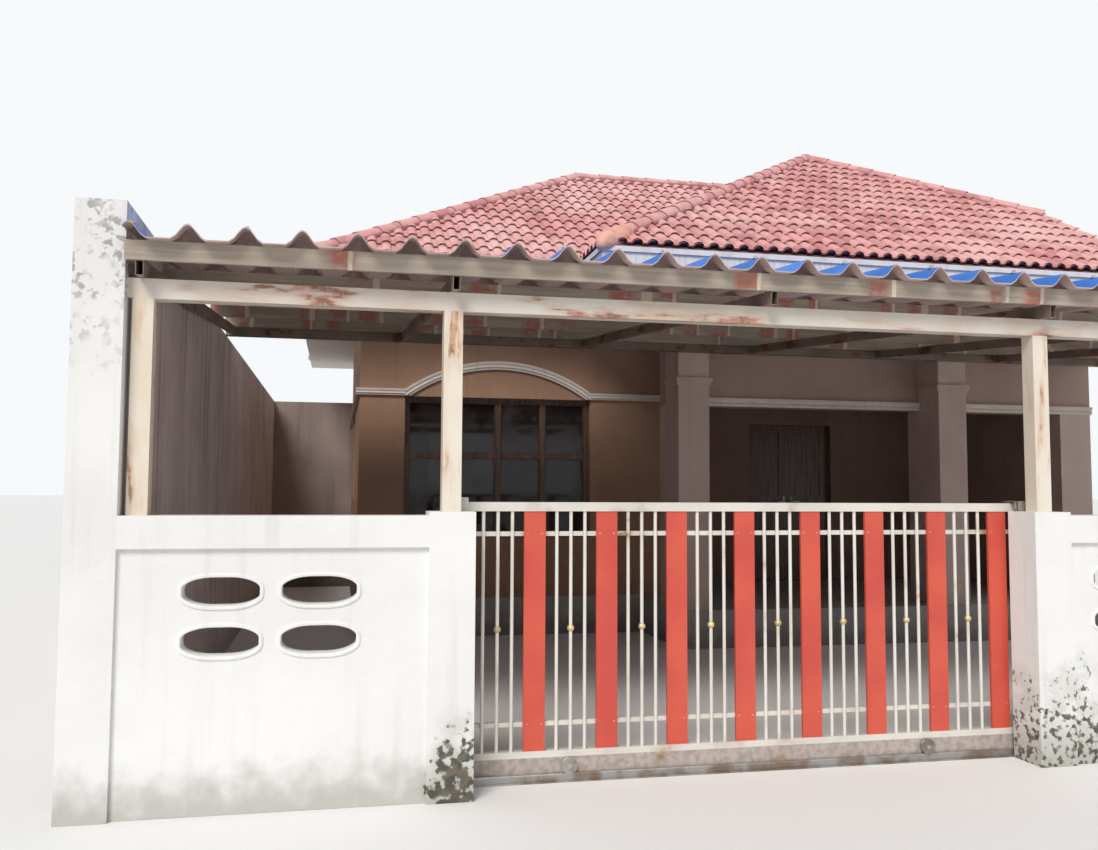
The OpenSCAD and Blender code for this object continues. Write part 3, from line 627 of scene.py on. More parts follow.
# Painted shade: the rafters, the rear beam and the cleats get a dark brown that stands for the
# shade under the sheets, where the front beam and posts are cream.
RAFTER_SHADE_PAINT = SteelPaint(
    "rafter_painted_shade", (0.27, 0.21, 0.18), (0.19, 0.15, 0.125), (0.20, 0.10, 0.07), 0.45,
    stretch=(1.2, 0.6, 1.6),
)
PURLIN_PAINT = PrimerPaint(
    "old_purlin_paint", (0.34, 0.29, 0.235), (0.44, 0.17, 0.13), (0.68, 0.60, 0.50),
)
SHEET = SheetFinish("roof_sheet", (0.035, 0.17, 0.56), (0.58, 0.44, 0.42), (0.33, 0.23, 0.22))
GATE_CREAM = SteelPaint(
    "gate_cream_paint", (0.80, 0.77, 0.71), (0.72, 0.68, 0.61), (0.45, 0.30, 0.18), 0.15, 0.35,
)
GATE_FRAME = SteelPaint(
    "gate_frame_paint", (0.76, 0.73, 0.67), (0.66, 0.62, 0.56), (0.42, 0.28, 0.18), 0.2, 0.38,
    low=(0.50, 0.43, 0.39), low_top=0.128,
)
GATE_RED = SteelPaint(
    "gate_board_paint", (0.68, 0.105, 0.06), (0.60, 0.075, 0.055), (0.36, 0.09, 0.06), 0.05, 0.4,
    stretch=(1.0, 1.0, 0.3),
)
GILT = BareMetal("gilt_ball", (0.86, 0.66, 0.36), (0.58, 0.42, 0.22), 0.38, 0.8)
WHEEL_IRON = BareMetal("worn_wheel_iron", (0.46, 0.45, 0.44), (0.22, 0.18, 0.15), 0.4)
TRACK_STEEL = BareMetal("track_steel", (0.42, 0.41, 0.40), (0.24, 0.17, 0.12), 0.38)
BOLT_STEEL = BareMetal("bolt_steel", (0.50, 0.49, 0.47), (0.30, 0.22, 0.16), 0.4)
ORANGE_MORTAR = Mortar("orange_mortar", (0.84, 0.43, 0.33), (0.66, 0.33, 0.28))
GREY_MORTAR = Mortar("grey_mortar", (0.50, 0.42, 0.40), (0.32, 0.27, 0.27))
# Painted shade: near-black strips in the open ends of the eave tiles stand for the shade inside
# them.
EAVE_SHADE = Mortar("eave_painted_shade", (0.075, 0.05, 0.10), (0.035, 0.03, 0.07))


# Modelling


class Piece:
    """A new piece of the scene while it is modelled."""

    def __init__(self, name: str) -> None:
        """Takes the active object and names it."""
        self.shape = bpy.context.active_object
        self.shape.name = name
        self.shape.data.name = name

    @classmethod
    def block(cls, name: str, low: Point, high: Point) -> "Piece":
        """Starts from a cube between two corners."""
        low, high = Vector(low), Vector(high)
        bpy.ops.object.select_all(action="DESELECT")
        bpy.ops.mesh.primitive_cube_add(size=1.0, location=(low + high) / 2, scale=high - low)
        return cls(name).settle()

    @classmethod
    def sheet(cls, name: str, width: float, length: float) -> "Piece":
        """Starts from a flat plane of a width and a length."""
        bpy.ops.object.select_all(action="DESELECT")
        bpy.ops.mesh.primitive_plane_add(size=1.0, location=(0.0, 0.0, 0.0))
        return cls(name).laid(Matrix.Diagonal((width, length, 1.0, 1.0)))

    @classmethod
    def rod(
        cls, name: str, low: float, high: float, foot: float, head: float, sides: int
    ) -> "Piece":
        """Starts from an open cone or tube that stands along z.

        Args:
            name: Name of the piece.
            low: Height of its foot.
            high: Height of its head.
            foot: Radius of its foot.
            head: Radius of its head.
            sides: Number of its sides.

        Returns:
            The piece.
        """
        bpy.ops.object.select_all(action="DESELECT")
        bpy.ops.mesh.primitive_cone_add(
            vertices=sides, radius1=foot, radius2=head, depth=high - low,
            end_fill_type="NOTHING", location=(0.0, 0.0, (low + high) / 2),
        )
        return cls(name).settle()

    @classmethod
    def ball(cls, name: str, size: Place, segments: int, rings: int) -> "Piece":
        """Starts from a ball with its three radii."""
        bpy.ops.object.select_all(action="DESELECT")
        bpy.ops.mesh.primitive_uv_sphere_add(segments=segments, ring_count=rings, radius=1.0)
        return cls(name).laid(Matrix.Diagonal((*size, 1.0)))

    @classmethod
    def united(cls, name: str, pieces: list["Piece"]) -> "Piece":
        """Joins pieces into the first one and names it."""
        whole = pieces[0].joined(pieces[1:])
        whole.shape.name = name
        return whole

    def take(self) -> None:
        """Makes the piece the only selected and the active one."""
        bpy.ops.object.select_all(action="DESELECT")
        self.shape.select_set(True)
        bpy.context.view_layer.objects.active = self.shape

    @contextmanager
    def edited(self, mode: str = "FACE", whole: bool = True) -> Iterator[None]:
        """Opens the piece for edit operators and closes it again.

        Args:
            mode: What is picked there: VERT, EDGE or FACE.
            whole: Whether all of it is picked first.

        Yields:
            Nothing.
        """
        self.take()
        picks = tuple(mode == known for known in ("VERT", "EDGE", "FACE"))
        bpy.context.tool_settings.mesh_select_mode = picks
        bpy.ops.object.mode_set(mode="EDIT")
        if whole:
            bpy.ops.mesh.select_all(action="SELECT")
        try:
            yield
        finally:
            bpy.ops.object.mode_set(mode="OBJECT")

    def settle(self) -> "Piece":
        """Puts place, turn and scale of the piece into its mesh."""
        self.take()
        bpy.ops.object.transform_apply(location=True, rotation=True, scale=True)
        return self

    def laid(self, matrix: Matrix) -> "Piece":
        """Moves the piece by a matrix, in its mesh."""
        self.shape.matrix_world = matrix @ self.shape.matrix_world
        return self.settle()

    def copied(self, name: str) -> "Piece":
        """Gives a copy with its own mesh."""
        self.take()
        bpy.ops.object.duplicate(linked=False)
        return Piece(name)

    def joined(self, others: list["Piece"]) -> "Piece":
        """Joins other pieces into this one."""
        self.take()
        for other in others:
            other.shape.select_set(True)
        bpy.ops.object.join()
        return self

    def spread(self, name: str, places: list[Matrix]) -> "Piece":
        """Sets copies of the piece and drops the piece itself.

        Args:
            name: Name of the copies, which are joined.
            places: A matrix for each copy.

        Returns:
            The joined copies.
        """
        copies = [self.copied("copy").laid(place) for place in places]
        bpy.data.objects.remove(self.shape)
        return Piece.united(name, copies)

    def pick(self, test: Callable[[Vector, Vector], bool]) -> None:
        """Picks the faces whose centre and normal pass a test."""
        mesh = self.shape.data
        for part in (*mesh.vertices, *mesh.edges):
            part.select = False
        for face in mesh.polygons:
            face.select = test(face.center, face.normal)

    def pick_edges(self, test: Callable[[Vector], bool]) -> None:
        """Picks the edges whose both ends pass a test."""
        mesh = self.shape.data
        for face in mesh.polygons:
            face.select = False
        for corner in mesh.vertices:
            corner.select = test(corner.co)
        for edge in mesh.edges:
            edge.select = all(mesh.vertices[end].select for end in edge.vertices)

    def modified(self, kind: str, **settings: Any) -> "Piece":
        """Adds a modifier, sets it and applies it.

        Args:
            kind: Blender's name of the modifier.
            **settings: Its properties.

        Returns:
            The piece.
        """
        self.take()
        modifier = self.shape.modifiers.new(kind.lower(), kind)
        for key, value in settings.items():
            setattr(modifier, key, value)
        bpy.ops.object.modifier_apply(modifier=modifier.name)
        return self

    def rowed(self, count: int, step: Place) -> "Piece":
        """Repeats the piece in a row."""
        return self.modified(
            "ARRAY", count=count, use_relative_offset=False, use_constant_offset=True,
            constant_offset_displace=step,
        )

    def walled(self, thick: float, inwards: float = -1.0) -> "Piece":
        """Gives an open shape its thickness."""
        return self.modified("SOLIDIFY", thickness=thick, offset=inwards)

    def bevelled(self, width: float, segments: int = 2) -> "Piece":
        """Rounds the sharp edges."""
        return self.modified("BEVEL", width=width, segments=segments, angle_limit=0.7)

    def lumpy(self, grain: float, strength: float) -> "Piece":
        """Makes the surface uneven.

        Args:
            grain: Size of the lumps in metres.
            strength: How far they reach in metres.

        Returns:
            The piece.
        """
        lumps = bpy.data.textures.new(self.shape.name, "CLOUDS")
        lumps.noise_scale = grain
        return self.modified("DISPLACE", texture=lumps, strength=strength, mid_level=0.6)

    def cut(self, point: Point, beyond: Point, clear: bool = True, fill: bool = False) -> "Piece":
        """Cuts the piece at a plane.

        Args:
            point: A point of the plane.
            beyond: The direction in which the plane looks.
            clear: Whether what lies in that direction is taken off.
            fill: Whether the cut is closed with a face.

        Returns:
            The piece.
        """
        with self.edited():
            bpy.ops.mesh.bisect(plane_co=point, plane_no=beyond, clear_outer=clear, use_fill=fill)
        return self

    def capped(self) -> "Piece":
        """Closes the open ends of a rod."""
        with self.edited("EDGE"):
            bpy.ops.mesh.region_to_loop()
            bpy.ops.mesh.edge_face_add()
        return self

    def closed(self, inside: bool = False) -> "Piece":
        """Merges doubles and turns all faces outwards, or all inwards."""
        with self.edited():
            bpy.ops.mesh.remove_doubles(threshold=0.0001)
            bpy.ops.mesh.normals_make_consistent(inside=inside)
        return self

    def smooth(self, degrees: float) -> "Piece":
        """Shades the piece smooth up to an angle."""
        self.take()
        bpy.ops.object.shade_smooth_by_angle(angle=math.radians(degrees))
        return self

    def finished(self, finish: Finish, body: str, slot: str) -> "Piece":
        """Dresses the piece and hangs it on its body.

        Args:
            finish: Its finish.
            body: The body that it moves with.
            slot: The record's material slot; not used.

        Returns:
            The piece.
        """
        self.shape.data.materials.clear()
        self.shape.data.materials.append(finish.material())
        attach(self.shape, body)
        LOG.info("%s: %d faces on %s", self.shape.name, len(self.shape.data.polygons), body)
        return self


def frame_of(origin: Vector, up: Vector) -> Matrix:
    """Frame with y along a rising direction, x level and z off the surface.

    Args:
        origin: Origin of the frame.
        up: Its y direction.

    Returns:
        The matrix that takes a local place to the model's frame.
    """
    along = up.normalized()
    side = along.cross(Vector(PLUS_Z)).normalized()
    turn = Matrix((side, along, side.cross(along))).transposed().to_4x4()
    return Matrix.Translation(origin) @ turn


def sides(outline: list[Plan]) -> list[tuple[Plan, Plan]]:
    """Gives each side of a plan outline by its two ends."""
    return list(zip(outline, outline[1:] + outline[:1]))


def within(x: float, y: float, outline: list[Plan]) -> bool:
    """Tells whether a place lies inside a plan outline."""
    inside = False
    for (ax, ay), (bx, by) in sides(outline):
        if (ay > y) != (by > y) and x < ax + (y - ay) / (by - ay) * (bx - ax):
            inside = not inside
    return inside


# Roof


@dataclass
class Slope:
    """One tiled slope: its outline in plan and the way up."""

    name: str
    foot: Plan
    uphill: Plan
    length: float
    run: float
    outline: list[Plan]

    @property
    def row(self) -> Row:
        """The way in which its rows run."""
        return Row.INTO_PLOT if self.uphill[0] else Row.ALONG_STREET


@dataclass
class TiledRoof:
    """Clay tiles, hip and ridge caps and their mortar on the slopes."""

    eave_z: float = 3.834
    top_z: float = 6.355
    rise: float = 0.593
    main_x: float = 0.775
    main_y: float = 4.915
    rear_y: float = 12.509
    wing_x: float = 3.6
    wing_y: float = 3.6
    wing_w: float = 8.18
    party_x: float = 9.82
    tile_w: float = 0.15
    gauge: float = 0.32
    tile_l: float = 0.345
    crest_r: float = 0.054
    crest_share: float = 0.68
    tile_t: float = 0.012
    tilt: float = 0.024
    cap_r: float = 0.105
    cap_gauge: float = 0.34
    cap_lap: float = 0.05
    cap_taper: float = 0.86
    cap_skirt: float = 0.035
    cap_t: float = 0.016
    foot_l: float = 0.3
    foot_past: Place = (0.03, 0.035, 0.012)
    foot_deep: float = 0.08
    bed_from: float = 0.08
    bed_deep: float = 0.09
    bed_step: float = 0.12
    filler_from: float = 0.038
    filler_to: float = 0.05
    filler_low: float = 0.006
    filler_deep: float = 0.004
    filler_in: tuple[float, float] = (0.013, 0.015)
    slopes: list[Slope] = field(default_factory=list)

    def __post_init__(self) -> None:
        """Works out the ridges, the valleys and the slopes between them."""
        half = (self.rear_y - self.main_y) / 2
        wing_half = self.wing_w / 2
        wing_x1 = self.wing_x + self.wing_w
        self.apex = (self.wing_x + wing_half, self.wing_y + wing_half)
        back = (self.apex[1] + wing_half + self.main_y) / 2
        run = back - self.main_y
        left = (self.wing_x + run, back)
        right = (wing_x1 - run, back)
        cut = wing_x1 - self.party_x
        hip = (self.party_x, self.wing_y + cut)
        valley = (self.party_x, self.main_y + cut)
        ridge = (self.main_x + half, self.main_y + half)
        party = (self.party_x, ridge[1])
        corner = (self.wing_x, self.wing_y)
        main = (self.main_x, self.main_y)
        rear = (self.main_x, self.rear_y)
        end = (self.party_x, self.rear_y)
        foot = (self.wing_x, self.main_y)
        self.left_valley = (foot, left)
        self.feet = [(main, ridge), (rear, ridge), (corner, self.apex)]
        self.hips = [
            *self.feet[:2], (ridge, party), self.feet[2],
            (hip, self.apex), (left, self.apex), (right, self.apex),
        ]
        main_l = self.party_x - self.main_x
        side_l = back - self.wing_y
        self.slopes = [
            Slope("main_front_tiles", main, (0, 1), main_l, half,
                  [main, foot, left, right, valley, party, ridge]),
            Slope("main_rear_tiles", end, (0, -1), main_l, half, [rear, ridge, party, end]),
            Slope("main_left_tiles", rear, (1, 0), 2 * half, half, [main, ridge, rear]),
            Slope("wing_front_tiles", corner, (0, 1), self.party_x - self.wing_x, wing_half,
                  [corner, (self.party_x, self.wing_y), hip, self.apex]),
            Slope("wing_left_tiles", (self.wing_x, back), (1, 0), side_l, wing_half,
                  [corner, self.apex, left, foot]),
            Slope("wing_right_tiles", (wing_x1, self.wing_y), (-1, 0), side_l, wing_half,
                  [self.apex, hip, valley, right]),
            Slope("wing_rear_tiles", (right[0], self.apex[1] + wing_half), (0, -1),
                  right[0] - left[0], wing_half, [self.apex, right, left]),
        ]

    def height(self, x: float, y: float) -> float:
        """Height of the slab's upper surface over a place in plan."""
        main = min(y - self.main_y, self.rear_y - y, x - self.main_x)
        across = x - self.wing_x
        deep = y - self.wing_y
        wing = min(across, self.wing_w - across, deep, self.wing_w - deep)
        return self.eave_z + self.rise * max(main, wing)

    def edge(self, start: Plan, end: Plan, skip: float = 0.0) -> tuple[Vector, Vector]:
        """Lifts a line from the plan to the roof.

        Args:
            start: Its lower end in plan.
            end: Its upper end in plan.
            skip: Length that is left out at the lower end.

        Returns:
            Its lower end and the way from there to its upper end.
        """
        low = at(*start, self.height(*start))
        line = at(*end, self.height(*end)) - low
        step = line.normalized() * skip
        return low + step, line - step

    def tile(self) -> Piece:
        """Models one tile: a half-round crest, a pan beside it, thin walls, tilted to overlap."""
        one = Piece.rod("tile", 0.0, self.tile_l, self.crest_r, self.crest_r, 12)
        one.laid(LIE_BACK).cut((0.0, 0.0, 0.0), MINUS_Z)
        one.pick_edges(lambda place: place.x > self.crest_r * 0.99 and place.z < 0.001)
        pan = self.tile_w - 2 * self.crest_r
        with one.edited("EDGE", whole=False):
            bpy.ops.mesh.extrude_region_move(TRANSFORM_OT_translate={"value": (pan, 0.0, 0.0)})
        one.laid(Matrix.Diagonal((1.0, 1.0, self.crest_share, 1.0)))
        one.closed(inside=True).walled(self.tile_t)
        lean = Matrix.Rotation(-math.atan2(self.tilt, self.tile_l), 4, "X")
        lift = Matrix.Translation((self.crest_r, 0.0, self.tilt + self.tile_t))
        return one.laid(lift @ lean)

    def cover(self, slope: Slope, tile: Piece) -> Piece:
        """Lays tiles over one slope and cuts them to its outline.

        Args:
            slope: The slope.
            tile: The tile that is repeated.

        Returns:
            The tiles of the slope.
        """
        up = Vector((*slope.uphill, self.rise))
        rows = math.ceil(slope.run * math.hypot(1.0, self.rise) / self.gauge)
        columns = math.ceil(slope.length / self.tile_w) + 1
        tiles = tile.copied(slope.name).rowed(columns, (self.tile_w, 0.0, 0.0))
        tiles.rowed(rows, (0.0, self.gauge, 0.0)).laid(frame_of(at(*slope.foot, self.eave_z), up))
        for (ax, ay), (bx, by) in sides(slope.outline):
            tiles.cut(at(ax, ay, 0.0), Vector((by - ay, ax - bx, 0.0)).normalized(), clear=False)
        tiles.pick(lambda c, n: not within(c.x + MIDDLE_X, c.y + MIDDLE_Y, slope.outline))
        with tiles.edited(whole=False):
            bpy.ops.mesh.delete(type="FACE")
        return tiles.smooth(50.0)

    def caps(self) -> Piece:
        """Lays overlapping half-round caps along every hip and the ridge."""
        length = self.cap_gauge + self.cap_lap
        one = Piece.rod("cap", 0.0, length, self.cap_r, self.cap_r * self.cap_taper, 20)
        one.laid(LIE_BACK).cut((0.0, 0.0, -self.cap_skirt), MINUS_Z).walled(self.cap_t)
        runs = []
        for hip in self.hips:
            low, line = self.edge(*hip, self.foot_l if hip in self.feet else 0.0)
            count = max(1, round(line.length / self.cap_gauge))
            run = one.copied("cap_run").rowed(count, (0.0, line.length / count, 0.0))
            runs.append(run.laid(frame_of(low, line)))
        bpy.data.objects.remove(one.shape)
        caps = Piece.united("hip_and_ridge_caps", runs)
        caps.cut(at(self.party_x, 0.0, 0.0), PLUS_X).cut(at(0.0, self.rear_y, 0.0), PLUS_Y)
        return caps.cut(at(0.0, 0.0, self.top_z), PLUS_Z).smooth(40.0)

    def bed(self, name: str, start: Plan, end: Plan, half: float, drop: float) -> Piece:
        """Lays a lumpy strip of mortar along a line of the roof.

        Args:
            name: Name of the piece.
            start: Lower end of the line in plan.
            end: Upper end of the line in plan.
            half: Half the strip's width.
            drop: How far its crown stands off the line.

        Returns:
            The strip.
        """
        low, line = self.edge(start, end, self.bed_from)
        strip = Piece.block(name, (-half, 0.0, -self.bed_deep), (half, line.length, drop))
        with strip.edited():
            bpy.ops.mesh.subdivide(number_cuts=3)
        cuts = max(2, int(line.length / self.bed_step))
        for number in range(1, cuts):
            strip.cut((0.0, line.length * number / cuts, 0.0), PLUS_Y, clear=False)
        return strip.lumpy(0.09, 0.035).laid(frame_of(low, line)).smooth(60.0)

    def hip_feet(self) -> Piece:
        """Models the smoothed lumps of mortar below the lowest caps of the hips."""
        wide, past, high = self.foot_past
        size = (self.cap_r + wide, self.foot_l + past, self.cap_r + high)
        made = []
        for hip in self.feet:
            one = Piece.ball("hip_foot", size, 28, 18)
            one.laid(Matrix.Translation((0.0, self.foot_l, 0.0)))
            one.cut((0.0, 0.0, -self.foot_deep), MINUS_Z, fill=True).lumpy(0.16, 0.03)
            made.append(one.laid(frame_of(*self.edge(*hip))))
        whole = Piece.united("hip_foot_mortar", made)
        return whole.cut(at(0.0, self.rear_y, 0.0), PLUS_Y).smooth(60.0)

    def eave_shade_strips(self) -> Piece:
        """Closes the open ends of the eave tiles with a scalloped strip painted near black as the
        shade inside them.
        """
        runs = [
            ((self.main_x, self.main_y), self.wing_x - self.main_x, (0.0, 1.0)),
            ((self.wing_x, self.wing_y), self.party_x - self.wing_x, (0.0, 1.0)),
            ((self.wing_x, self.main_y), self.main_y - self.wing_y, (1.0, 0.0)),
            ((self.main_x, self.rear_y), self.rear_y - self.main_y, (1.0, 0.0)),
            ((self.party_x, self.rear_y), self.party_x - self.main_x, (0.0, -1.0)),
        ]
        radii = [self.crest_r - less for less in self.filler_in]
        lift = self.tilt + self.tile_t - self.filler_low
        made = []
        for foot, length, inwards in runs:
            one = Piece.rod("filler", self.filler_from, self.filler_to, *radii, 12)
            one.laid(LIE_BACK).cut((0.0, 0.0, -self.filler_deep), MINUS_Z)
            with one.edited():
                bpy.ops.mesh.edge_face_add()
            one.laid(Matrix.Diagonal((1.0, 1.0, self.crest_share, 1.0)))
            one.laid(Matrix.Translation((self.crest_r, 0.0, lift)))
            one.rowed(int(length / self.tile_w), (self.tile_w, 0.0, 0.0))
            up = Vector((*inwards, self.rise))
            made.append(one.laid(frame_of(at(*foot, self.eave_z), up)))
        return Piece.united("eave_shade_strips", made)

    def build(self) -> None:
        """Builds everything that lies on the slopes."""
        tile = self.tile()
        for slope in self.slopes:
            name = f"clay_{slope.row.name.lower()}"
            clay = TileClay(name, slope.row, self.gauge / math.hypot(1.0, self.rise))
            self.cover(slope, tile).finished(clay, HOUSE, "tile")
        bpy.data.objects.remove(tile.shape)
        clay = TileClay("clay_caps", Row.ALONG_STREET, 0.31)
        caps = self.caps().finished(clay, HOUSE, "tile")
        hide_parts("roof_caps")
        main_bed = self.bed("main_hip_mortar", *self.feet[0], 0.085, 0.03)
        main_bed.finished(GREY_MORTAR, HOUSE, "tile")
        wing_bed = self.bed("wing_hip_mortar", *self.feet[2], 0.085, 0.03)
        wing_bed.finished(ORANGE_MORTAR, HOUSE, "tile")
        self.hip_feet().finished(ORANGE_MORTAR, HOUSE, "tile")
        valley_bed = self.bed("valley_mortar", *self.left_valley, 0.10, 0.035)
        valley_bed.finished(ORANGE_MORTAR, HOUSE, "tile")
        # Painted shade in the open ends of the eave tiles.
        self.eave_shade_strips().finished(EAVE_SHADE, HOUSE, "tile")


# Carport


@dataclass
class Carport:
    """Hooks and cleats of the sheet roof on its steel frame."""

    slope: float = math.radians(4.88)
    foot: Place = (0.0, 0.07, 2.6203)
    party_x: float = 9.82
    crest_x: float = 0.274
    wave: float = 0.27
    wave_h: float = 0.074
    sheet_top: float = 0.1776
    purlin_run: float = 4.3496
    purlin_n: int = 5
    first_purlin: float = -0.12
    rafter_xs: tuple[float, ...] = (0.315, 1.86, 3.625, 5.39, 6.8267, 8.2633, 9.7)
    rafter_top: float = 0.0753
    washer_h: float = 0.006
    washer_rs: tuple[float, float] = (0.020, 0.015)
    nut_h: float = 0.012
    nut_rs: tuple[float, float] = (0.0095, 0.0085)
    hook_past: float = 0.022
    hook_sunk: float = 0.001
    cleat_past: float = 0.0455
    cleat_half: float = 0.019
    cleat_t: float = 0.006
    cleat_h: float = 0.075
    cleat_l: float = 0.05

    def on_slope(self, x: float, number: int, past: float, off: float) -> Matrix:
        """Gives a place beside a purlin, in the frame of the slope.

        Args:
            x: Place along the street.
            number: Number of the purlin, from the street.
            past: Distance up the slope from the purlin's near face.
            off: Distance off the slope.

        Returns:
            The matrix that takes a piece there.
        """
        up = number * self.purlin_run / (self.purlin_n - 1) + self.first_purlin + past
        frame = Matrix.Translation(at(*self.foot)) @ Matrix.Rotation(self.slope, 4, "X")
        return frame @ Matrix.Translation((x, up, off))

    def hooks(self) -> Piece:
        """Models a hook bolt with its cap and washer, and sets one on every second crest."""
        low = self.washer_h
        washer = Piece.rod("washer", 0.0, low, *self.washer_rs, 10).capped()
        washer.joined([Piece.rod("nut", low, low + self.nut_h, *self.nut_rs, 6).capped()])
        crests = int((self.party_x - self.crest_x) / (2 * self.wave)) + 1
        washer.rowed(crests, (2 * self.wave, 0.0, 0.0))
        top = self.sheet_top + self.wave_h - self.hook_sunk
        rows = range(self.purlin_n)
        places = [self.on_slope(self.crest_x, row, self.hook_past, top) for row in rows]
        return washer.spread("sheet_hooks", places).closed()

    def cleats(self) -> Piece:
        """Models a folded angle cleat and sets one behind each purlin on each rafter."""
        half, thick = self.cleat_half, self.cleat_t
        one = Piece.block("cleat", (-half, 0.0, 0.0), (half, thick, self.cleat_h))
        foot = Piece.block("cleat_foot", (-half, thick, 0.0), (half, self.cleat_l, thick))
        one.joined([foot]).bevelled(0.0015, 1)
        places = [
            self.on_slope(x, row, self.cleat_past, self.rafter_top)
            for row in range(self.purlin_n - 1)
            for x in self.rafter_xs
        ]
        return one.spread("purlin_cleats", places)

    def build(self) -> None:
        """Builds the carport's small parts."""
        self.hooks().finished(BOLT_STEEL, HOUSE, "dark_steel")
        self.cleats().finished(RAFTER_SHADE_PAINT, HOUSE, "frame_paint")


# Street wall


@dataclass
class VentRims:
    """Oval rims of mortar that line the vents of the low wall."""

    width: float = 0.367
    height: float = 0.14
    lip: float = 0.0195
    edge_r: float = 0.005
    roundness: float = 0.82
    front_y: float = 0.017
    back_y: float = 0.133
    top_z: float = 1.073
    row_gap: float = 0.243
    step: float = 0.472
    runs: tuple[tuple[float, int], ...] = ((0.727, 2), (5.855, 8))

    def rim(self) -> Piece:
        """Models one rim: a blunt oval bar, inset at both ends and opened through."""
        reach = math.sqrt(2.0)
        rim = Piece.rod("rim", self.front_y, self.back_y, reach, reach, 4)
        rim.laid(Matrix.Rotation(math.radians(45.0), 4, "Z"))
        rim.modified("BEVEL", width=self.roundness, segments=14, limit_method="NONE")
        half = (self.width / 2 + self.lip, self.height / 2 + self.lip)
        rim.laid(Matrix.Diagonal((*half, 1.0, 1.0))).capped().closed()
        rim.pick(lambda place, normal: abs(normal.z) > 0.9)
        with rim.edited(whole=False):
            bpy.ops.mesh.inset(thickness=self.lip, depth=0.0)
            bpy.ops.mesh.bridge_edge_loops()
        return rim.closed().bevelled(self.edge_r, 3).laid(LIE_BACK)

    def build(self) -> None:
        """Sets a rim in every vent."""
        rim = self.rim()
        rows = []
        for first, count in self.runs:
            row = rim.copied("rim_row").rowed(count, (self.step, 0.0, 0.0))
            row.rowed(2, (0.0, 0.0, -self.row_gap))
            rows.append(row.laid(Matrix.Translation(at(first, 0.0, self.top_z))))
        bpy.data.objects.remove(rim.shape)
        whole = Piece.united("oval_vent_rims", rows).smooth(40.0)
        whole.finished(RIM_PAINT, HOUSE, "rim_paint")
        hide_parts("vent_rims")


# Gate


@dataclass
class SlidingGate:
    """Rivets of the boards."""

    first_board: float = 2.346
    board_step: float = 0.4105
    boards: int = 8
    board_half: float = 0.06
    board_y: float = 0.281
    rivet_in: float = 0.02
    rivet_size: Place = (0.0055, 0.0033, 0.0055)
    rivet_sunk: float = 0.0003
    rivet_zs: tuple[float, ...] = (0.305, 1.338)

    def build(self) -> None:
        """Models a domed rivet and sets four on each board."""
        aside = self.board_half - self.rivet_in
        one = Piece.ball("rivet", self.rivet_size, 10, 6)
        one.cut((0.0, self.rivet_sunk, 0.0), PLUS_Y).rowed(2, (2 * aside, 0.0, 0.0))
        one.rowed(self.boards, (self.board_step, 0.0, 0.0))
        start = self.first_board - aside
        places = [Matrix.Translation(at(start, self.board_y, z)) for z in self.rivet_zs]
        rivets = one.spread("board_rivets", places).smooth(60.0)
        rivets.finished(BOLT_STEEL, GATE, "gate_cream")


# House


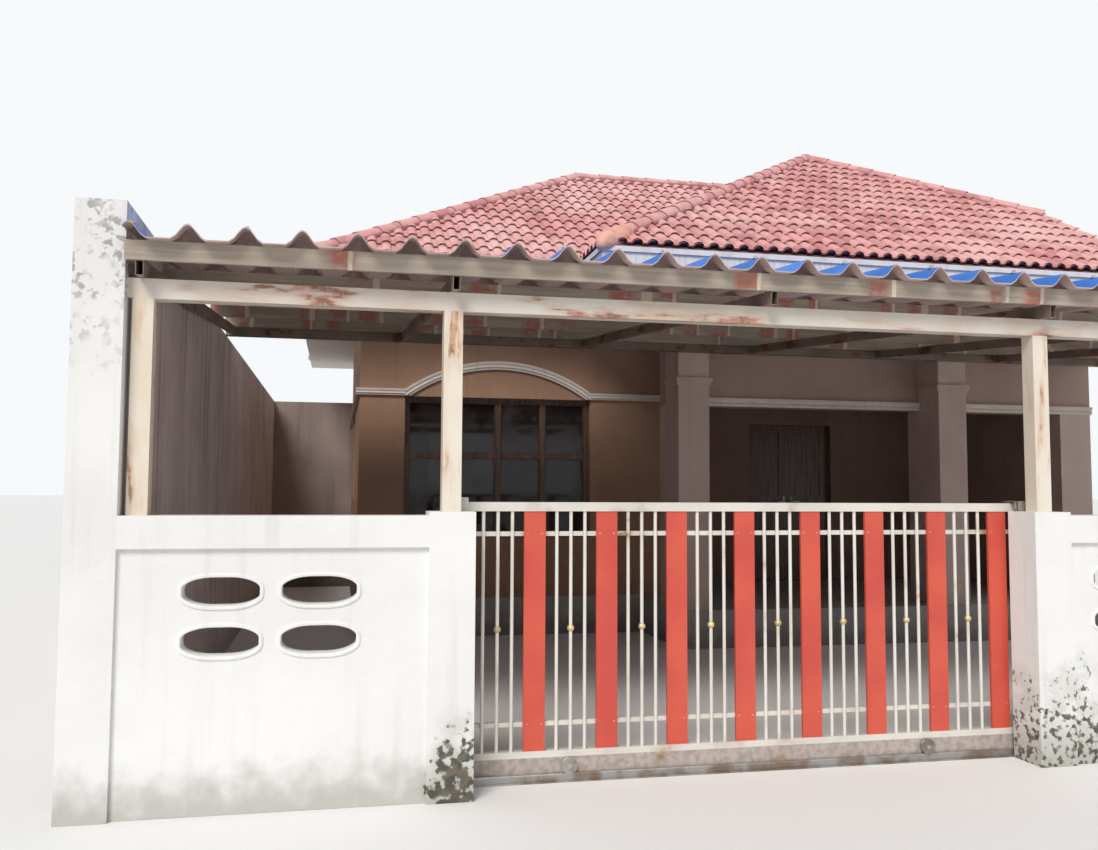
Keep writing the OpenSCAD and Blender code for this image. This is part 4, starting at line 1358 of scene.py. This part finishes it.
@dataclass
class HouseFront:
    """Bars, beads and fittings of the window and the door."""

    window_x: float = 1.97
    window_w: float = 2.07
    sill: float = 1.055
    head: float = 2.59
    member: float = 0.05
    lights: int = 4
    frame_y: float = 5.80
    transom_z: float = 1.93
    transom_h: float = 0.045
    door_x: float = 6.7
    door_w: float = 1.2
    door_y: float = 7.57
    floor_z: float = 0.38
    bar_lap: float = 0.002
    bar_depths: tuple[float, float] = (0.012, 0.058)
    bead_w: float = 0.014
    bead_t: float = 0.012
    bead_depth: float = 0.024
    handle_x: float = 0.055
    handle_z: float = 1.06
    plate_half: float = 0.018
    plate_t: float = 0.006
    plate_down: float = 0.13
    plate_up: float = 0.07
    neck_l: float = 0.045
    neck_y: float = 0.004
    neck_rs: tuple[float, float] = (0.009, 0.008)
    lever_out: float = 0.05
    lever_half: float = 0.06
    lever_h: float = 0.01
    lever_ys: tuple[float, float] = (0.056, 0.042)

    @property
    def light_w(self) -> float:
        """Width of one light of the window."""
        return (self.window_w - (self.lights + 1) * self.member) / self.lights

    def transoms(self) -> Piece:
        """Models the bars that part the upper lights from the lower ones."""
        start = self.window_x + self.member
        front, back = (self.frame_y + depth for depth in self.bar_depths)
        low = at(start - self.bar_lap, front, self.transom_z)
        high = at(start + self.light_w + self.bar_lap, back, self.transom_z + self.transom_h)
        bar = Piece.block("window_transoms", low, high).bevelled(0.004)
        return bar.rowed(self.lights, (self.light_w + self.member, 0.0, 0.0))

    def beads(self) -> Piece:
        """Models the glazing beads round each pane by inset and wall."""
        made = []
        for low, high in ((self.sill + self.member, self.transom_z),
                          (self.transom_z + self.transom_h, self.head - self.member)):
            one = Piece.sheet("bead", self.light_w, high - low)
            with one.edited():
                bpy.ops.mesh.inset(thickness=self.bead_w)
                bpy.ops.mesh.delete(type="FACE")
            one.walled(self.bead_t, 1.0).bevelled(0.003, 1).laid(LIE_FORWARD)
            one.rowed(self.lights, (self.light_w + self.member, 0.0, 0.0))
            x = self.window_x + self.member + self.light_w / 2
            middle = at(x, self.frame_y + self.bead_depth, (low + high) / 2)
            made.append(one.laid(Matrix.Translation(middle)))
        return Piece.united("bead", made)

    def handles(self) -> Piece:
        """Models a lever handle on a plate for each door leaf."""
        made = []
        z = self.floor_z + self.handle_z
        far, near = self.lever_ys
        for side in (-1.0, 1.0):
            x = self.door_x + self.door_w / 2 + side * self.handle_x
            low = at(x - self.plate_half, self.door_y - self.plate_t, z - self.plate_down)
            high = at(x + self.plate_half, self.door_y, z + self.plate_up)
            plate = Piece.block("plate", low, high).bevelled(0.004)
            neck = Piece.rod("neck", 0.0, self.neck_l, *self.neck_rs, 14).laid(LIE_FORWARD)
            neck.laid(Matrix.Translation(at(x, self.door_y - self.neck_y, z)))
            tip = x + side * self.lever_out
            low = at(tip - self.lever_half, self.door_y - far, z - self.lever_h)
            high = at(tip + self.lever_half, self.door_y - near, z + self.lever_h)
            lever = Piece.block("lever", low, high).bevelled(0.005)
            made.append(plate.joined([neck, lever]))
        return Piece.united("door_handles", made).smooth(40.0)

    def build(self) -> None:
        """Builds the window's and the door's small parts."""
        self.transoms().finished(JOINERY, HOUSE, "joinery")
        self.beads().finished(JOINERY, HOUSE, "joinery")
        self.handles().finished(BOLT_STEEL, HOUSE, "dark_steel")


# Carried-over nodes


NODES_BY_FINISH: dict[Finish, tuple[str, ...]] = {
    PILLAR_PAINT: ("boundary_pillar",),
    BOUNDARY_PAINT: ("boundary_wall",),
    PASSAGE_PAINT: ("passage_wall",),
    STREET_PAINT: (
        "street_wall_left", "street_wall_right", "gate_pier_left", "gate_pier_right", "end_pier",
    ),
    TRACK_STEEL: ("gate_track",),
    GATE_CREAM: ("gate_catch", "gate_tubes"),
    BOLT_STEEL: ("gate_guide",),
    GATE_FRAME: ("gate_frame",),
    GATE_RED: ("gate_boards",),
    GILT: ("gate_balls",),
    WHEEL_IRON: ("gate_wheel_left", "gate_wheel_right"),
    POST_PAINT: ("carport_posts",),
    BEAM_PAINT: ("front_beam",),
    RAFTER_SHADE_PAINT: ("rear_beam", "rafters"),
    PURLIN_PAINT: ("purlins",),
    SHEET: ("roof_sheets",),
    FLOOR_CONCRETE: ("house_floor", "porch_floor", "plinth"),
    HOUSE_PAINT: ("front_wall", "left_side_wall", "back_wall"),
    PORCH_PAINT: ("party_wall", "party_gable", "porch_beam"),
    PORCH_SHADE_PAINT: ("porch_side_wall", "porch_back_wall"),
    COLUMN_PAINT: ("porch_column_left", "porch_column_right", "party_pier"),
    MOULDING_PAINT: ("mouldings", "window_arch"),
    JOINERY: ("entrance_door", "front_window_frame", "small_window_frames"),
    Pane("window_pane"): ("window_glass",),
    SOFFIT_PAINT: ("ceiling", "fascia"),
}


def dress_nodes(nodes: dict[str, Any]) -> None:
    """Gives each carried-over node its finish, and the roof slabs that of their edge.

    Args:
        nodes: The nodes by name.
    """
    # Its dark colour is clay dust and painted shade under the tiles.
    deck = DeckEdge("deck_shade_and_edge", (0.30, 0.14, 0.13), (0.80, 0.76, 0.75))
    finishes = {name: finish for finish, names in NODES_BY_FINISH.items() for name in names}
    for name, shape in nodes.items():
        finish = finishes.get(name, deck)
        shape.data.materials.clear()
        shape.data.materials.append(finish.material())
        LOG.info("%s: node in %s", name, finish.name)


# Studio


@dataclass
class Studio:
    """Floor, light and the camera at the photograph's place."""

    camera_place: Place = (-3.63, -11.314, 1.58)
    yaw: float = math.radians(11.91)
    pitch: float = math.radians(3.82)
    roll: float = math.radians(0.30)
    lens: float = 32.63
    shift_y: float = -0.0014
    world: float = 0.52
    sun: float = 2.3
    sun_aim: Place = (0.42, 0.72, -0.78)

    def floor(self) -> None:
        """Lays the pale floor."""
        bpy.ops.object.select_all(action="DESELECT")
        bpy.ops.mesh.primitive_plane_add(size=400.0, location=(0.0, 0.0, -0.001))
        floor = bpy.context.active_object
        floor.name = "studio_floor"
        bench = Bench(bpy.data.materials.new("studio_floor"))
        colour = bench.mix(bench.noise(0.4, 3.0), (0.80, 0.80, 0.79), (0.84, 0.84, 0.83))
        bench.surface(colour, 0.9)
        floor.data.materials.append(bench.owner)

    def sky(self) -> None:
        """Sets the plain world, white where the camera or glass sees it."""
        world = bpy.data.worlds.new("studio_world")
        bpy.context.scene.world = world
        bench = Bench(world)
        seen = bench.wire("ShaderNodeLightPath", {}, {}, "Is Camera Ray")
        seen = seen.most(bench.wire("ShaderNodeLightPath", {}, {}, "Is Glossy Ray"))
        plain = bench.wire("ShaderNodeBackground", {}, {0: (0.93, 0.96, 1.0), 1: self.world})
        white = bench.wire("ShaderNodeBackground", {}, {0: (0.93, 0.95, 0.97), 1: 1.0})
        mixed = bench.wire("ShaderNodeMixShader", {}, {0: seen, 1: plain, 2: white})
        bench.node("ShaderNodeOutputWorld", {}, {0: mixed})

    def lamp(self) -> None:
        """Hangs a wide soft lamp over the street, left of the camera."""
        data = bpy.data.lights.new("soft_sun", "SUN")
        data.energy = self.sun
        data.angle = math.radians(25.0)
        data.color = (1.0, 0.97, 0.93)
        lamp = bpy.data.objects.new("soft_sun", data)
        bpy.context.scene.collection.objects.link(lamp)
        lamp.rotation_mode = "QUATERNION"
        lamp.rotation_quaternion = Vector(self.sun_aim).to_track_quat("-Z", "Y")

    def camera(self) -> None:
        """Sets the camera where the photograph was taken."""
        data = bpy.data.cameras.new("street_camera")
        data.sensor_width = 36.0
        data.lens = self.lens
        data.shift_y = self.shift_y
        data.clip_end = 500.0
        camera = bpy.data.objects.new("street_camera", data)
        bpy.context.scene.collection.objects.link(camera)
        aim = Matrix.Rotation(-self.yaw, 4, "Z") @ Matrix.Rotation(math.pi / 2 + self.pitch, 4, "X")
        turn = aim @ Matrix.Rotation(self.roll, 4, "Z")
        camera.matrix_world = Matrix.Translation(self.camera_place) @ turn
        bpy.context.scene.camera = camera

    def build(self) -> None:
        """Sets up the whole studio."""
        self.floor()
        self.sky()
        self.lamp()
        self.camera()
        bpy.context.scene.view_settings.view_transform = "Standard"


def main() -> None:
    """Builds the scene in order."""
    logging.basicConfig(level=logging.INFO, format="%(name)s %(message)s")
    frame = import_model()
    bpy.ops.object.select_all(action="DESELECT")
    dress_nodes(frame["nodes"])
    TiledRoof().build()
    Carport().build()
    VentRims().build()
    SlidingGate().build()
    HouseFront().build()
    Studio().build()
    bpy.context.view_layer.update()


if __name__ == "__main__":
    main()
